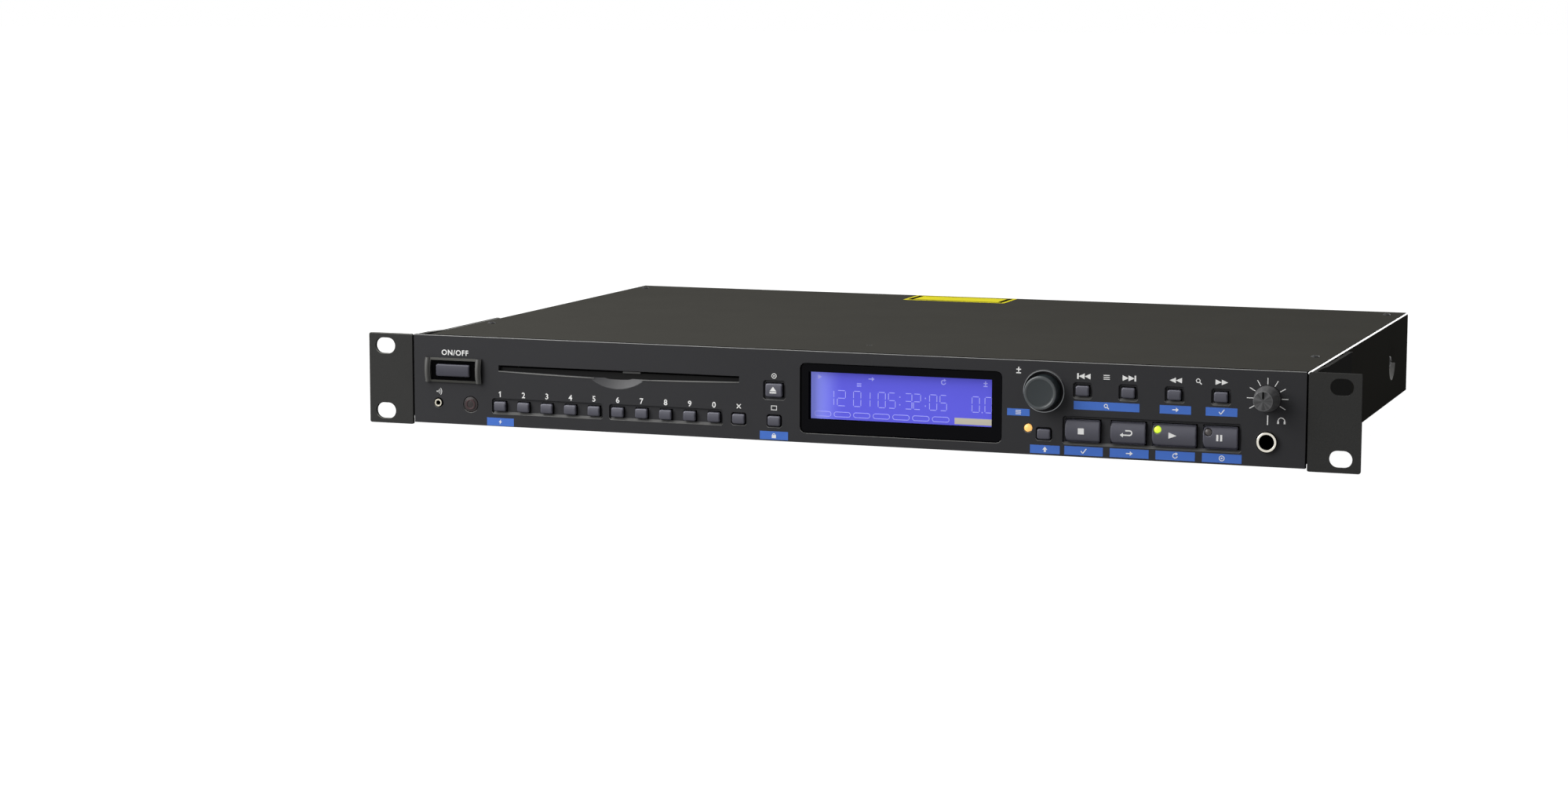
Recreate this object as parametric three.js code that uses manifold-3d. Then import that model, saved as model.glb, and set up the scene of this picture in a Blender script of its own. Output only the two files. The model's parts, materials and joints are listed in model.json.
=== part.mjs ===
// A compact disc player one rack unit high, with a slot loader, built as an assembly of separate pieces.
// Millimetres. X runs to the right, Y to the back and Z up, with the fascia's front face at Y zero and
// the lower edge of the rack ears at Z zero. The finished group is then stood on its own middle.
import * as THREE from 'three';
import { mergeVertices } from 'three/addons/utils/BufferGeometryUtils.js';
import Module from 'manifold-3d';

const wasm = await Module();
wasm.setup();

// Clearances and facets
const FIT_GAP = 0.3;
const OVERRUN = 1;
const CORNER_STEPS = 3;
const BOWL_SIDES = 52;
const FINE_SIDES = 32;
const PRESSED_SIDES = 18;
const ROUND_SIDES = 14;
const SMALL_SIDES = 12;
const WELD = 0.0001;

// Rack ears
const RACK_WIDTH = 482.6;
const EAR_FACE_WIDTH = 23.4;
const EAR_HEIGHT = 44;
const EAR_THICKNESS = 1.8;
const EAR_SEAM = 0.8;
const EAR_CORNER = 0.8;
const EAR_SLOT_LENGTH = 10.4;
const EAR_SLOT_HEIGHT = 7.6;
const EAR_SLOT_INSET = 8.75;
const EAR_SLOT_SPACING_Z = 31.8;
const EAR_LEG_LENGTH = 100;
const EAR_LEG_FOOT = 4;
const EAR_LEG_DROP = 1.6;
const EAR_LEG_TAB = 20;
const EAR_LEG_SLOPE = 18;
const EAR_PAD_RADIUS = 6;
const EAR_PAD_Y_SHARES = [0.42, 0.86];
const EAR_PAD_Z_SHARE = 0.5;

// Sheet-metal casing
const CASE_STEP = 0.7;
const CASE_DEPTH = 288.8;
const CASE_LIFT = 2.1;
const CASE_HEIGHT = 40.7;
const CASE_CORNER = 1.5;
const SHEET = 1;
const BASE_WALL_HEIGHT = 6;
const PAD_RADIUS = 9;
const PAD_SPREAD_SHARE = 0.78;
const PAD_FRONT_Y = 45;
const PAD_REAR_INSET = 43.8;
const BOSS_RADIUS = 3;
const BOARD_LIFT = 6.3;
const DIMPLE_RADIUS = 5;
const DIMPLE_DEPTH = 1.2;
const DIMPLE_Y = 46;
const DIMPLE_FLOOR_SHARE = 0.45;
const SIDE_DISH_RADIUS = 9.6;
const SIDE_DISH_DEPTH = 1.8;
const SIDE_DISH_FLOOR_SHARE = 0.5;
const SIDE_DISH_INSET = 48.8;
const SIDE_DISH_Z = 22.4;

// Fascia moulding
const FASCIA_LIFT = 1.1;
const FASCIA_THICKNESS = 3;
const FASCIA_BEVEL = 0.7;
const LIP_DEPTH = 8;
const LIP_THICKNESS = 1.5;
const RECESS_DEPTH = 1;
const RECESS_CORNER = 0.8;
const RECESS_MARGIN = 1.3;
const LARGE_RECESS_MARGIN = 1.3;
const PILLAR_RADIUS = 1.8;
const LEFT_PILLAR_INSET = 39.8;
const LOW_PILLAR_Z = 17.2;
const HIGH_PILLAR_Z = 35;

// Disc slot and its finger scoop
const SLOT_INSET = 106.7;
const SLOT_WIDTH = 123.4;
const SLOT_TOP_Z = 30.6;
const SLOT_END_HEIGHT = 2.6;
const SLOT_BOW = 1.2;
const SLOT_STEPS = 12;
const SCOOP_RADIUS = 22.9;
const SCOOP_REACH = 5;
const SCOOP_DEPTH = 6.1;
const SCOOP_STEPS = 8;

// Display window and its module
const WINDOW_LEFT_INSET = 198.6;
const WINDOW_RIGHT_INSET = 138.4;
const WINDOW_Z = 21.95;
const WINDOW_HEIGHT = 32.7;
const WINDOW_CORNER = 4.5;
const WINDOW_SET_BACK = 0.7;
const WINDOW_FLANGE = 1.5;
const WINDOW_FLANGE_THICKNESS = 1;
const MODULE_FRAME = 2.5;
const GLASS_LEFT_MARGIN = 5;
const GLASS_RIGHT_MARGIN = 4.4;
const GLASS_TOP_MARGIN = 4;
const GLASS_BOTTOM_MARGIN = 6.2;
const GLASS_RISE = 0.6;

// Keys shared sizes
const KEY_BEVEL = 0.4;
const KEY_CORNER = 0.5;
const KEY_FLANGE = 0.5;
const KEY_FLANGE_THICKNESS = 1;
const KEY_STEM = 2.4;
const SMALL_KEY_WIDTH = 6.1;
const SMALL_KEY_HEIGHT = 4.7;
const SMALL_KEY_PROUD = 1.2;
const SMALL_KEY_TRAVEL = 0.5;
const LARGE_KEY_HEIGHT = 10.1;
const LARGE_KEY_PROUD = 1.4;
const LARGE_KEY_TRAVEL = 0.8;

// Digit keys in two strips of five
const DIGIT_FIRST_INSET = 45.8;
const DIGIT_PITCH = 12.23;
const DIGIT_Z = 10.9;
const DIGIT_COUNT = 10;
const DIGITS_IN_STRIP = 5;

// Single keys
const CLEAR_KEY_INSET = 168.25;
const CLEAR_KEY_Z = 10.7;
const EJECT_KEY_INSET = 185.9;
const EJECT_KEY_Z = 24.95;
const EJECT_KEY_WIDTH = 8.2;
const EJECT_KEY_HEIGHT = 6.3;
const DISPLAY_KEY_Z = 10.5;
const SHIFT_KEY_INSET = 118.6;
const SHIFT_KEY_Z = 10.8;
const TRANSPORT_FIRST_INSET = 100.9;
const TRANSPORT_PITCH = 21;
const TRANSPORT_Z = 31.25;
const LARGE_KEY_Z = 13.15;
const STOP_KEY_INSET = 100.55;
const STOP_KEY_WIDTH = 16.1;
const CALL_KEY_INSET = 79.65;
const CALL_KEY_WIDTH = 16.1;
const PLAY_KEY_INSET = 58.6;
const PLAY_KEY_WIDTH = 20;
const PAUSE_KEY_INSET = 37.75;
const PAUSE_KEY_WIDTH = 15.7;

// Lamps
const LAMP_RADIUS = 1.5;
const SHIFT_LAMP_RADIUS = 1.75;
const SHIFT_LAMP_INSET = 126.1;
const SHIFT_LAMP_Z = 13.2;
const LAMP_PROUD = 0.5;
const KEY_LAMP_INSET_X = 2.4;
const KEY_LAMP_INSET_Z = 2.8;

// Power key and its bezel
const POWER_INSET = 21.45;
const POWER_Z = 27.3;
const BEZEL_WIDTH = 29.7;
const BEZEL_HEIGHT = 11.9;
const BEZEL_CHEEK_WIDTH = 2.9;
const BEZEL_CHEEK_PROUD = 3.2;
const BEZEL_RAIL_PROUD = 2;
const BEZEL_FLOOR_PROUD = 0.9;
const BEZEL_RAIL = 1.2;
const BEZEL_FLANGE = 1;
const BEZEL_CORNER = 1.2;
const CHEEK_STEPS = 8;
const CHEEK_FLATNESS = 1.1;
const POWER_KEY_WIDTH = 17.7;
const POWER_KEY_HEIGHT = 5.9;
const POWER_KEY_PROUD = 2.2;
const POWER_TRAVEL = 3;
const POWER_STEM = 4;
const POWER_STEM_LENGTH = 8;
const POWER_BODY_WIDTH = 16.8;
const POWER_BODY_HEIGHT = 12.6;
const POWER_BODY_DEPTH = 17;

// Remote socket and sensor window
const REMOTE_INSET = 13;
const REMOTE_Z = 11.2;
const REMOTE_RING_RADIUS = 2.15;
const REMOTE_BORE_RADIUS = 1.15;
const REMOTE_BODY = 7;
const REMOTE_PROUD = 0.5;
const SENSOR_INSET = 30.1;
const SENSOR_Z = 11.1;
const SENSOR_RADIUS = 3.65;
const SENSOR_DOME = 0.5;

// Pitch dial
const DIAL_INSET = 118.8;
const DIAL_Z = 30.2;
const DIAL_RIM_RADIUS = 9.6;
const DIAL_RIM_WIDTH = 0.6;
const DIAL_RIM_PROUD = 0.4;
const DIAL_WELL_DEPTH = 2;
const DIAL_RADIUS = 7.7;
const DIAL_PROUD = 7.5;
const DIAL_EDGE = 0.7;
const DIAL_DISH = 0.35;
const DIAL_CORE_DEPTH = 6.5;
const DIAL_TRAVEL = 0.8;
const SHAFT_RADIUS = 3;
const SHAFT_COLLAR_RADIUS = 4.4;
const SHAFT_COLLAR_THICKNESS = 1;
const ENCODER_BODY = 12;
const ENCODER_FLOOR = 0.5;

// Level knob
const LEVEL_INSET = 17.2;
const LEVEL_Z = 31.5;
const LEVEL_BASE_RADIUS = 5.8;
const LEVEL_FACE_RADIUS = 4.55;
const LEVEL_PROUD = 10.5;
const LEVEL_CLEAR = 0.4;
const LEVEL_BEVEL = 0.35;
const LEVEL_FLUTE_DEPTH = 0.3;
const LEVEL_FLUTES = 18;
const LEVEL_POINTER_WIDTH = 0.6;
const LEVEL_POINTER_DEPTH = 0.3;
const POT_BODY = 11;
const POT_SHAFT_RADIUS = 2.2;
const POT_DEPTH_SHARE = 0.8;

// Headphone jack
const PHONES_INSET = 17.1;
const PHONES_Z = 12.2;
const PHONES_RING_RADIUS = 4.8;
const PHONES_NECK_RADIUS = 4.1;
const PHONES_BORE_RADIUS = 3.175;
const PHONES_PROUD = 1.3;
const PHONES_MOUTH = 0.6;
const PHONES_BODY = 12;
const PHONES_DEPTH = 27;

// Front circuit board
const BOARD_GAP = 6.5;
const BOARD_THICKNESS = 1.6;
const BOARD_MARGIN = 0.6;
const SWITCH_SIZE = 6;
const SWITCH_HEIGHT = 1.7;
const SLOT_NOTCH_MARGIN = 4;
const SLOT_NOTCH_DEPTH = 6.6;

// Main board and power supply
const MAIN_LEFT_INSET = 35.1;
const MAIN_SUPPLY_GAP = 12;
const MAIN_LOADER_GAP = 12;
const MAIN_REAR_GAP = 26.8;
const CHIP_HEIGHT = 2.4;
const HEADER_HEIGHT = 8;
const CAP_RADIUS = 4;
const CAP_HEIGHT = 12;
const SUPPLY_RIGHT_INSET = 13.1;
const SUPPLY_WIDTH = 100;
const SUPPLY_FRONT_Y = 125;
const SUPPLY_REAR_GAP = 33.8;
const CORE_WIDTH = 42;
const CORE_DEPTH = 36;
const CORE_HEIGHT = 24;
const FIN_COUNT = 7;
const FIN_THICKNESS = 1.2;
const FIN_PITCH = 3.6;
const FIN_HEIGHT = 22;
const FIN_LENGTH = 30;
const SUPPLY_CAP_RADIUS = 9;
const SUPPLY_CAP_HEIGHT = 22;
const HOLD_INSET = 5;
const CHIP_SHARES = [[-0.3, 0.1, 0.075], [-0.08, -0.12, 0.1], [0.16, 0.14, 0.06], [0.3, -0.2, 0.05]];
const HEADER_SHARES = [[-0.42, -0.38, 0.09], [-0.2, -0.4, 0.12], [0.05, -0.4, 0.09], [0.38, 0.34, 0.1]];
const HEADER_DEPTH_SHARE = 0.75;
const CAP_SHARES = [[-0.44, 0.3], [-0.38, 0.3], [0.24, 0.3], [0.3, 0.3], [0.36, -0.02], [0.42, -0.02]];
const CORE_SHARES = [-0.25, 0.17];
const COIL_WIDTH_SHARE = 0.7;
const COIL_DEPTH_SHARE = 1.35;
const COIL_HEIGHT_SHARE = 0.82;
const SINK_SHARES = [0.25, -0.125];
const SINK_FOOT_SHARE = 0.25;
const SINK_WEB_SHARE = 0.9;
const SUPPLY_CAP_SHARES = [[-0.2, -0.36], [0.2, -0.36]];

// Rear connectors
const REAR_ROW_Z = 22;
const INLET_INSET = 44.4;
const INLET_FLANGE_WIDTH = 31;
const INLET_FLANGE_HEIGHT = 24.4;
const INLET_FLANGE_THICKNESS = 2.4;
const INLET_BODY_WIDTH = 27;
const INLET_BODY_HEIGHT = 20;
const INLET_BODY_DEPTH = 17;
const INLET_CAVITY_WIDTH = 23;
const INLET_CAVITY_HEIGHT = 16;
const INLET_CAVITY_DEPTH = 15;
const INLET_CAVITY_CUT = 4;
const INLET_PIN_WIDTH = 2;
const INLET_PIN_HEIGHT = 4;
const INLET_PIN_LENGTH = 9.5;
const INLET_PIN_SPREAD = 7;
const INLET_PIN_RISE = 2;
const BALANCED_FIRST_INSET = 198.4;
const BALANCED_PITCH = 34;
const BALANCED_FLANGE_WIDTH = 26;
const BALANCED_FLANGE_HEIGHT = 31;
const BALANCED_FLANGE_THICKNESS = 1.8;
const BALANCED_FLANGE_CORNER = 3;
const BALANCED_BODY_RADIUS = 11;
const BALANCED_BODY_DEPTH = 18;
const BALANCED_BORE_RADIUS = 8;
const BALANCED_BORE_DEPTH = 16;
const BALANCED_PIN_RADIUS = 1.2;
const BALANCED_PIN_CIRCLE = 3.8;
const BALANCED_PIN_LENGTH = 10.5;
const BALANCED_PIN_COUNT = 3;
const PHONO_INSET = 112.4;
const PHONO_PITCH = 14;
const PHONO_COUNT = 3;
const PHONO_OUTER_RADIUS = 4.15;
const PHONO_BORE_RADIUS = 1.7;
const PHONO_REACH = 8;
const PHONO_BORE_DEPTH = 7.4;
const PHONO_BODY_DEPTH = 11;
const PHONO_BODY_HEIGHT = 12;
const SOCKET_INSET = 262.4;
const SOCKET_FLANGE_WIDTH = 39.2;
const SOCKET_FLANGE_HEIGHT = 12.5;
const SOCKET_SHELL_WIDTH = 25;
const SOCKET_SHELL_HEIGHT = 9.4;
const SOCKET_SHELL_SLANT = 1.7;
const SOCKET_SHELL_REACH = 5.6;
const SOCKET_BODY_DEPTH = 9;
const SOCKET_POST_SPREAD = 33.3;
const SOCKET_POST_RADIUS = 2.6;
const SOCKET_POST_SIDES = 6;
const SOCKET_POST_REACH = 4.8;

// Loader frame, on the casing's floor round the spindle
const SPINDLE_Y = 92;
const DISC_PLANE = 25.1;
const FRAME_WIDTH = 150;
const FRAME_FRONT = 74;
const FRAME_REAR = 82;
const FRAME_SHEET = 1.2;
const FRAME_FLOOR = 9;
const FRAME_TOP = 33;
const FRAME_FOOT_RADIUS = 4;
const FRAME_FOOT_INSET = 7;
const MOTOR_RADIUS = 13;
const MOTOR_FLOOR = 1.6;
const MOTOR_BOSS_RADIUS = 4;
const MOTOR_BOSS_RISE = 3;
const SPINDLE_RADIUS = 1;
const SPINDLE_LENGTH = 9.6;

// Turntable and clamp
const TABLE_RADIUS = 15;
const TABLE_RIM = 3.5;
const TABLE_HUB_RADIUS = 6;
const CONE_RADIUS = 7.4;
const CONE_TIP_RADIUS = 5.6;
const CONE_HEIGHT = 3;
const CLAMP_RADIUS = 14.5;
const CLAMP_HEIGHT = 4;
const CLAMP_POCKET_RADIUS = 8.2;
const CLAMP_NECK_RADIUS = 5;
const CLAMP_HEAD_RADIUS = 8;
const CLAMP_HEAD_HEIGHT = 1.2;
const ARM_THICKNESS = 1.8;
const ARM_TIP_RADIUS = 13;
const ARM_ROOT_WIDTH = 40;
const ARM_WAIST_WIDTH = 22;
const ARM_HINGE_Y = 78.5;
const ARM_PIN_RADIUS = 1.3;
const ARM_PIN_REACH = 3.4;
const ARM_BARREL_RADIUS = 2.4;
const POST_THICKNESS = 2;
const POST_DEPTH = 7;
const POST_HEAD = 3.2;

// Feed roller and the arm that carries it
const ROLLER_Y = -66;
const ROLLER_END_RADIUS = 4;
const ROLLER_WAIST_RADIUS = 3.2;
const ROLLER_LENGTH = 124;
const ROLLER_SHAFT_RADIUS = 1.5;
const CHEEK_GAP = 2;
const CHEEK_THICKNESS = 2;
const CHEEK_TIP = 4.5;
const CHEEK_CREST_SHARE = 0.7;
const ROLLER_PIVOT_Y = -40;
const ROLLER_PIVOT_Z = 17;
const ROLLER_PIN_RADIUS = 1.5;
const CHEEK_ROOT_RADIUS = 3.2;
const CROSS_BAR_DEPTH = 3;
const CROSS_BAR_HEIGHT = 5;
const CROSS_BAR_GAP = 5;

// Disc guide
const GUIDE_THICKNESS = 1.2;
const GUIDE_DEPTH = 50;
const GUIDE_BOW = 16;
const GUIDE_STEPS = 12;
const GUIDE_RIB_INSET = 11;
const GUIDE_RIB_THICKNESS = 2;
const DISC_THICKNESS = 1.2;

// Pickup sled, its rods, rack and gear
const ROD_RADIUS = 1.5;
const ROD_SPREAD = 48;
const ROD_Z = 13.6;
const ROD_BLOCK_DEPTH = 4;
const ROD_FRONT_Y = 17.5;
const ROD_REAR_Y = 77.5;
const ROD_BLOCK_WIDTH = 6;
const SLED_WIDTH = 38;
const SLED_LENGTH = 24;
const SLED_REST_Y = 21;
const SLED_TRAVEL = 29;
const SLED_FLOOR = 7;
const SLED_TOP = 19;
const SLED_WING_HEIGHT = 5.6;
const SLED_WING_REACH = 3.4;
const LENS_RADIUS = 3.5;
const LENS_HOUSING = 14;
const LENS_HOUSING_HEIGHT = 2.4;
const LENS_HEIGHT = 2;
const LENS_SET_BACK = 8;
const GEAR_MODULE = 1;
const GEAR_TEETH = 20;
const GEAR_THICKNESS = 2.4;
const GEAR_BACKLASH = 0.36;
const GEAR_ROOT_SHARE = 1.25;
const GEAR_HUB_RADIUS = 4;
const GEAR_HUB_RISE = 1.2;
const GEAR_PIN_RADIUS = 1.5;
const GEAR_SEAT_RADIUS = 3;
const GEAR_Y = 37;
const PRESSURE_ANGLE = 20 * Math.PI / 180;
const FLANK_STEPS = 1;
const RACK_DEPTH = 3;
const RACK_GAP = 1;
const RACK_MARGIN_TEETH = 2;

// Widths, heights and depths that follow from the sizes above
const rackHalf = RACK_WIDTH / 2;
const earInner = rackHalf - EAR_FACE_WIDTH;
const fasciaHalf = earInner - EAR_SEAM;
const caseHalf = fasciaHalf - CASE_STEP;
const caseTop = CASE_LIFT + CASE_HEIGHT;
const floorTop = CASE_LIFT + SHEET;
const innerHalf = caseHalf - SHEET - FIT_GAP;
const innerTop = caseTop - SHEET - FIT_GAP;
const innerBottom = floorTop + FIT_GAP;
const fasciaBack = FASCIA_THICKNESS + FIT_GAP;
const lipBack = FASCIA_THICKNESS + LIP_DEPTH;
const boardFront = FASCIA_THICKNESS + BOARD_GAP;
const boardBack = boardFront + BOARD_THICKNESS;
const switchFace = boardFront - SWITCH_HEIGHT;
const boardSeat = CASE_LIFT + SHEET + BOARD_LIFT;
const dialWellRadius = DIAL_RIM_RADIUS - DIAL_RIM_WIDTH;
const dialBack = DIAL_WELL_DEPTH - FIT_GAP;
const powerFloor = FASCIA_THICKNESS + FIT_GAP;
const shaftHoleRadius = SHAFT_RADIUS + FIT_GAP;

// Places across: the left group from the fascia's left end, the right group from its right end,
// the window in the width that is left between them, and the rear connectors from the case's sides
const leftPillarX = LEFT_PILLAR_INSET - fasciaHalf;
const slotX = SLOT_INSET - fasciaHalf;
const digitFirstX = DIGIT_FIRST_INSET - fasciaHalf;
const clearKeyX = CLEAR_KEY_INSET - fasciaHalf;
const ejectKeyX = EJECT_KEY_INSET - fasciaHalf;
const powerX = POWER_INSET - fasciaHalf;
const remoteX = REMOTE_INSET - fasciaHalf;
const sensorX = SENSOR_INSET - fasciaHalf;
const shiftKeyX = fasciaHalf - SHIFT_KEY_INSET;
const transportFirstX = fasciaHalf - TRANSPORT_FIRST_INSET;
const stopKeyX = fasciaHalf - STOP_KEY_INSET;
const callKeyX = fasciaHalf - CALL_KEY_INSET;
const playKeyX = fasciaHalf - PLAY_KEY_INSET;
const pauseKeyX = fasciaHalf - PAUSE_KEY_INSET;
const shiftLampX = fasciaHalf - SHIFT_LAMP_INSET;
const dialX = fasciaHalf - DIAL_INSET;
const levelX = fasciaHalf - LEVEL_INSET;
const phonesX = fasciaHalf - PHONES_INSET;
const phonoX = PHONO_INSET - caseHalf;
const balancedFirstX = BALANCED_FIRST_INSET - caseHalf;
const socketX = SOCKET_INSET - caseHalf;
const inletX = caseHalf - INLET_INSET;
const windowLeft = WINDOW_LEFT_INSET - fasciaHalf;
const windowRight = fasciaHalf - WINDOW_RIGHT_INSET;
const windowX = (windowLeft + windowRight) / 2;
const windowWidth = windowRight - windowLeft;
const glassWidth = windowWidth - GLASS_LEFT_MARGIN - GLASS_RIGHT_MARGIN;
const glassHeight = WINDOW_HEIGHT - GLASS_TOP_MARGIN - GLASS_BOTTOM_MARGIN;
const slotLeft = slotX - SLOT_WIDTH / 2;
const slotRight = slotX + SLOT_WIDTH / 2;

// The boards' outlines, from the case's sides and back and the loader's rear edge
const supplyRight = innerHalf - SUPPLY_RIGHT_INSET;
const supplyX = supplyRight - SUPPLY_WIDTH / 2;
const supplyRear = CASE_DEPTH - SUPPLY_REAR_GAP;
const supplyDepth = supplyRear - SUPPLY_FRONT_Y;
const supplyY = (supplyRear + SUPPLY_FRONT_Y) / 2;
const mainLeft = MAIN_LEFT_INSET - innerHalf;
const mainRight = supplyRight - SUPPLY_WIDTH - MAIN_SUPPLY_GAP;
const mainWidth = mainRight - mainLeft;
const mainX = (mainLeft + mainRight) / 2;
const mainFront = SPINDLE_Y + FRAME_REAR + MAIN_LOADER_GAP;
const mainRear = CASE_DEPTH - MAIN_REAR_GAP;
const mainDepth = mainRear - mainFront;
const mainY = (mainFront + mainRear) / 2;

// Finishes
const finish = (color, roughness, metalness) => new THREE.MeshStandardMaterial({ color, roughness, metalness });
const paint = finish('#3a3a3b', 0.5, 0.2);
const coverPaint = finish('#3c3a36', 0.55, 0.2);
const moulding = finish('#37373a', 0.5, 0);
const keyPlastic = finish('#55555f', 0.45, 0);
const blackPlastic = finish('#1a1a1b', 0.4, 0);
const zinc = finish('#b9babb', 0.35, 0.9);
const steel = finish('#8f9193', 0.3, 1);
const nickel = finish('#d0cdc6', 0.2, 1);
const knobMetal = finish('#4a4a4c', 0.35, 0.8);
const boardGreen = finish('#2f5b3c', 0.6, 0);
const rubber = finish('#242424', 0.85, 0);
const whitePlastic = finish('#d9d7cf', 0.5, 0);
const sensorRed = finish('#3a1d20', 0.2, 0);
const glass = finish('#121214', 0.08, 0);
const screenBlue = finish('#6a66e6', 0.4, 0);
const amber = finish('#e8b34a', 0.35, 0);
const lime = finish('#b8e02a', 0.35, 0);
const umber = finish('#4c3b38', 0.35, 0);

/** A closed solid from a three.js geometry. */
function toSolid(geometry) {
  geometry.deleteAttribute('normal');
  geometry.deleteAttribute('uv');
  const merged = mergeVertices(geometry, WELD);
  const vertProperties = new Float32Array(merged.attributes.position.array);
  const corners = merged.index.array;
  const kept = [];
  for (let at = 0; at < corners.length; at += 3) {
    const [a, b, c] = [corners[at], corners[at + 1], corners[at + 2]];
    if (a !== b && b !== c && c !== a) {
      kept.push(a, b, c);
    }
  }
  const triVerts = new Uint32Array(kept);
  return new wasm.Manifold(new wasm.Mesh({ numProp: 3, vertProperties, triVerts }));
}

/** A named mesh from a solid, added to its group at its place. */
function addPiece(group, name, solid, material, place = [0, 0, 0]) {
  const made = solid.getMesh();
  const geometry = new THREE.BufferGeometry();
  geometry.setAttribute('position', new THREE.BufferAttribute(new Float32Array(made.vertProperties), 3));
  geometry.setIndex(new THREE.BufferAttribute(new Uint32Array(made.triVerts), 1));
  geometry.computeVertexNormals();
  const mesh = new THREE.Mesh(geometry, material);
  mesh.name = name;
  mesh.position.set(...place);
  group.add(mesh);
  return mesh;
}

/** All the solids of a list as one. */
const join = (solids) => solids.reduce((whole, next) => whole.add(next));

/** A solid less each solid of a list. */
const cut = (solid, tools) => tools.reduce((left, tool) => left.subtract(tool), solid);

/** A box between two corners. */
function box(x0, x1, y0, y1, z0, z1) {
  const geometry = new THREE.BoxGeometry(x1 - x0, y1 - y0, z1 - z0);
  geometry.translate((x0 + x1) / 2, (y0 + y1) / 2, (z0 + z1) / 2);
  return toSolid(geometry);
}

/** A box round a centre in X and Z, between two depths. */
const block = (x, z, width, height, y0, y1) =>
  box(x - width / 2, x + width / 2, y0, y1, z - height / 2, z + height / 2);

/** A slab round a centre in X and Y, between two heights. */
const slab = (x, y, width, depth, z0, z1) =>
  box(x - width / 2, x + width / 2, y - depth / 2, y + depth / 2, z0, z1);

/** An outline extruded from zero along its own normal. */
function extrude(points, length) {
  const shape = new THREE.Shape(points.map(([u, v]) => new THREE.Vector2(u, v)));
  return new THREE.ExtrudeGeometry(shape, { depth: length, bevelEnabled: false, steps: 1 });
}

/** An outline in Y and Z extruded along X. */
function prismX(points, x0, x1) {
  const geometry = extrude(points, x1 - x0);
  geometry.applyMatrix4(new THREE.Matrix4().set(0, 0, 1, x0, 1, 0, 0, 0, 0, 1, 0, 0, 0, 0, 0, 1));
  return toSolid(geometry);
}

/** An outline in X and Z extruded along Y. */
function prismY(points, y0, y1) {
  const geometry = extrude(points, y1 - y0);
  geometry.rotateX(Math.PI / 2);
  geometry.translate(0, y1, 0);
  return toSolid(geometry);
}

/** An outline in X and Y extruded along Z. */
function prismZ(points, z0, z1) {
  const geometry = extrude(points, z1 - z0);
  geometry.translate(0, 0, z0);
  return toSolid(geometry);
}

/** The corners of a rectangle with rounded corners, counter-clockwise. */
function roundedPoints(u, v, width, height, radius, steps = CORNER_STEPS) {
  const points = [];
  const corners = [[1, -1, -1], [1, 1, 0], [-1, 1, 1], [-1, -1, 2]];
  for (const [signU, signV, quarter] of corners) {
    for (let step = 0; step <= steps; step += 1) {
      const angle = (quarter + step / steps) * Math.PI / 2;
      const cornerU = u + signU * (width / 2 - radius);
      const cornerV = v + signV * (height / 2 - radius);
      points.push([cornerU + radius * Math.cos(angle), cornerV + radius * Math.sin(angle)]);
    }
  }
  return points;
}

/** Points round a circle, counter-clockwise. */
function circlePoints(u, v, radius, sides) {
  return Array.from({ length: sides }, (_, side) => {
    const angle = side / sides * 2 * Math.PI;
    return [u + radius * Math.cos(angle), v + radius * Math.sin(angle)];
  });
}

const roundX = (y, z, radius, x0, x1, sides = SMALL_SIDES) => prismX(circlePoints(y, z, radius, sides), x0, x1);
const roundY = (x, z, radius, y0, y1, sides = SMALL_SIDES) => prismY(circlePoints(x, z, radius, sides), y0, y1);
const roundZ = (x, y, radius, z0, z1, sides = SMALL_SIDES) => prismZ(circlePoints(x, y, radius, sides), z0, z1);

/** A solid of revolution about Y, from a profile of radius and height, then placed by a matrix. */
function lathe(profile, sides, matrix = new THREE.Matrix4()) {
  const geometry = new THREE.LatheGeometry(profile.map(([r, h]) => new THREE.Vector2(r, h)), sides);
  return toSolid(geometry.applyMatrix4(matrix));
}

const yToZ = new THREE.Matrix4().makeRotationX(Math.PI / 2);
const moved = (x, y, z) => new THREE.Matrix4().makeTranslation(x, y, z);

/** A solid of revolution about a line along Z through a place. */
const latheZ = (profile, sides, place = [0, 0, 0]) => lathe(profile, sides, moved(...place).multiply(yToZ));

/** A solid of revolution about a line along Y through a place. */
const latheY = (profile, sides, place = [0, 0, 0]) => lathe(profile, sides, moved(...place));

/** A solid of revolution about X, or the other way round for a side of minus one. */
const latheX = (profile, sides, side = 1, place = [0, 0, 0]) =>
  lathe(profile, sides, moved(...place).multiply(new THREE.Matrix4().makeRotationZ(-side * Math.PI / 2)));

/** Outlines in X and Z at rising depths, joined by their sides and closed at both ends. */
function loftY(rings) {
  const count = rings[0].points.length;
  const positions = rings.flatMap(({ y, points }) => points.flatMap(([x, z]) => [x, y, z]));
  const index = [];
  for (let ring = 0; ring < rings.length - 1; ring += 1) {
    for (let side = 0; side < count; side += 1) {
      const next = (side + 1) % count;
      const a = ring * count + side;
      const b = ring * count + next;
      index.push(a, a + count, b + count, a, b + count, b);
    }
  }
  const last = (rings.length - 1) * count;
  for (let side = 1; side < count - 1; side += 1) {
    index.push(0, side, side + 1, last, last + side + 1, last + side);
  }
  const geometry = new THREE.BufferGeometry();
  geometry.setAttribute('position', new THREE.Float32BufferAttribute(positions, 3));
  geometry.setIndex(index);
  return toSolid(geometry);
}

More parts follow.
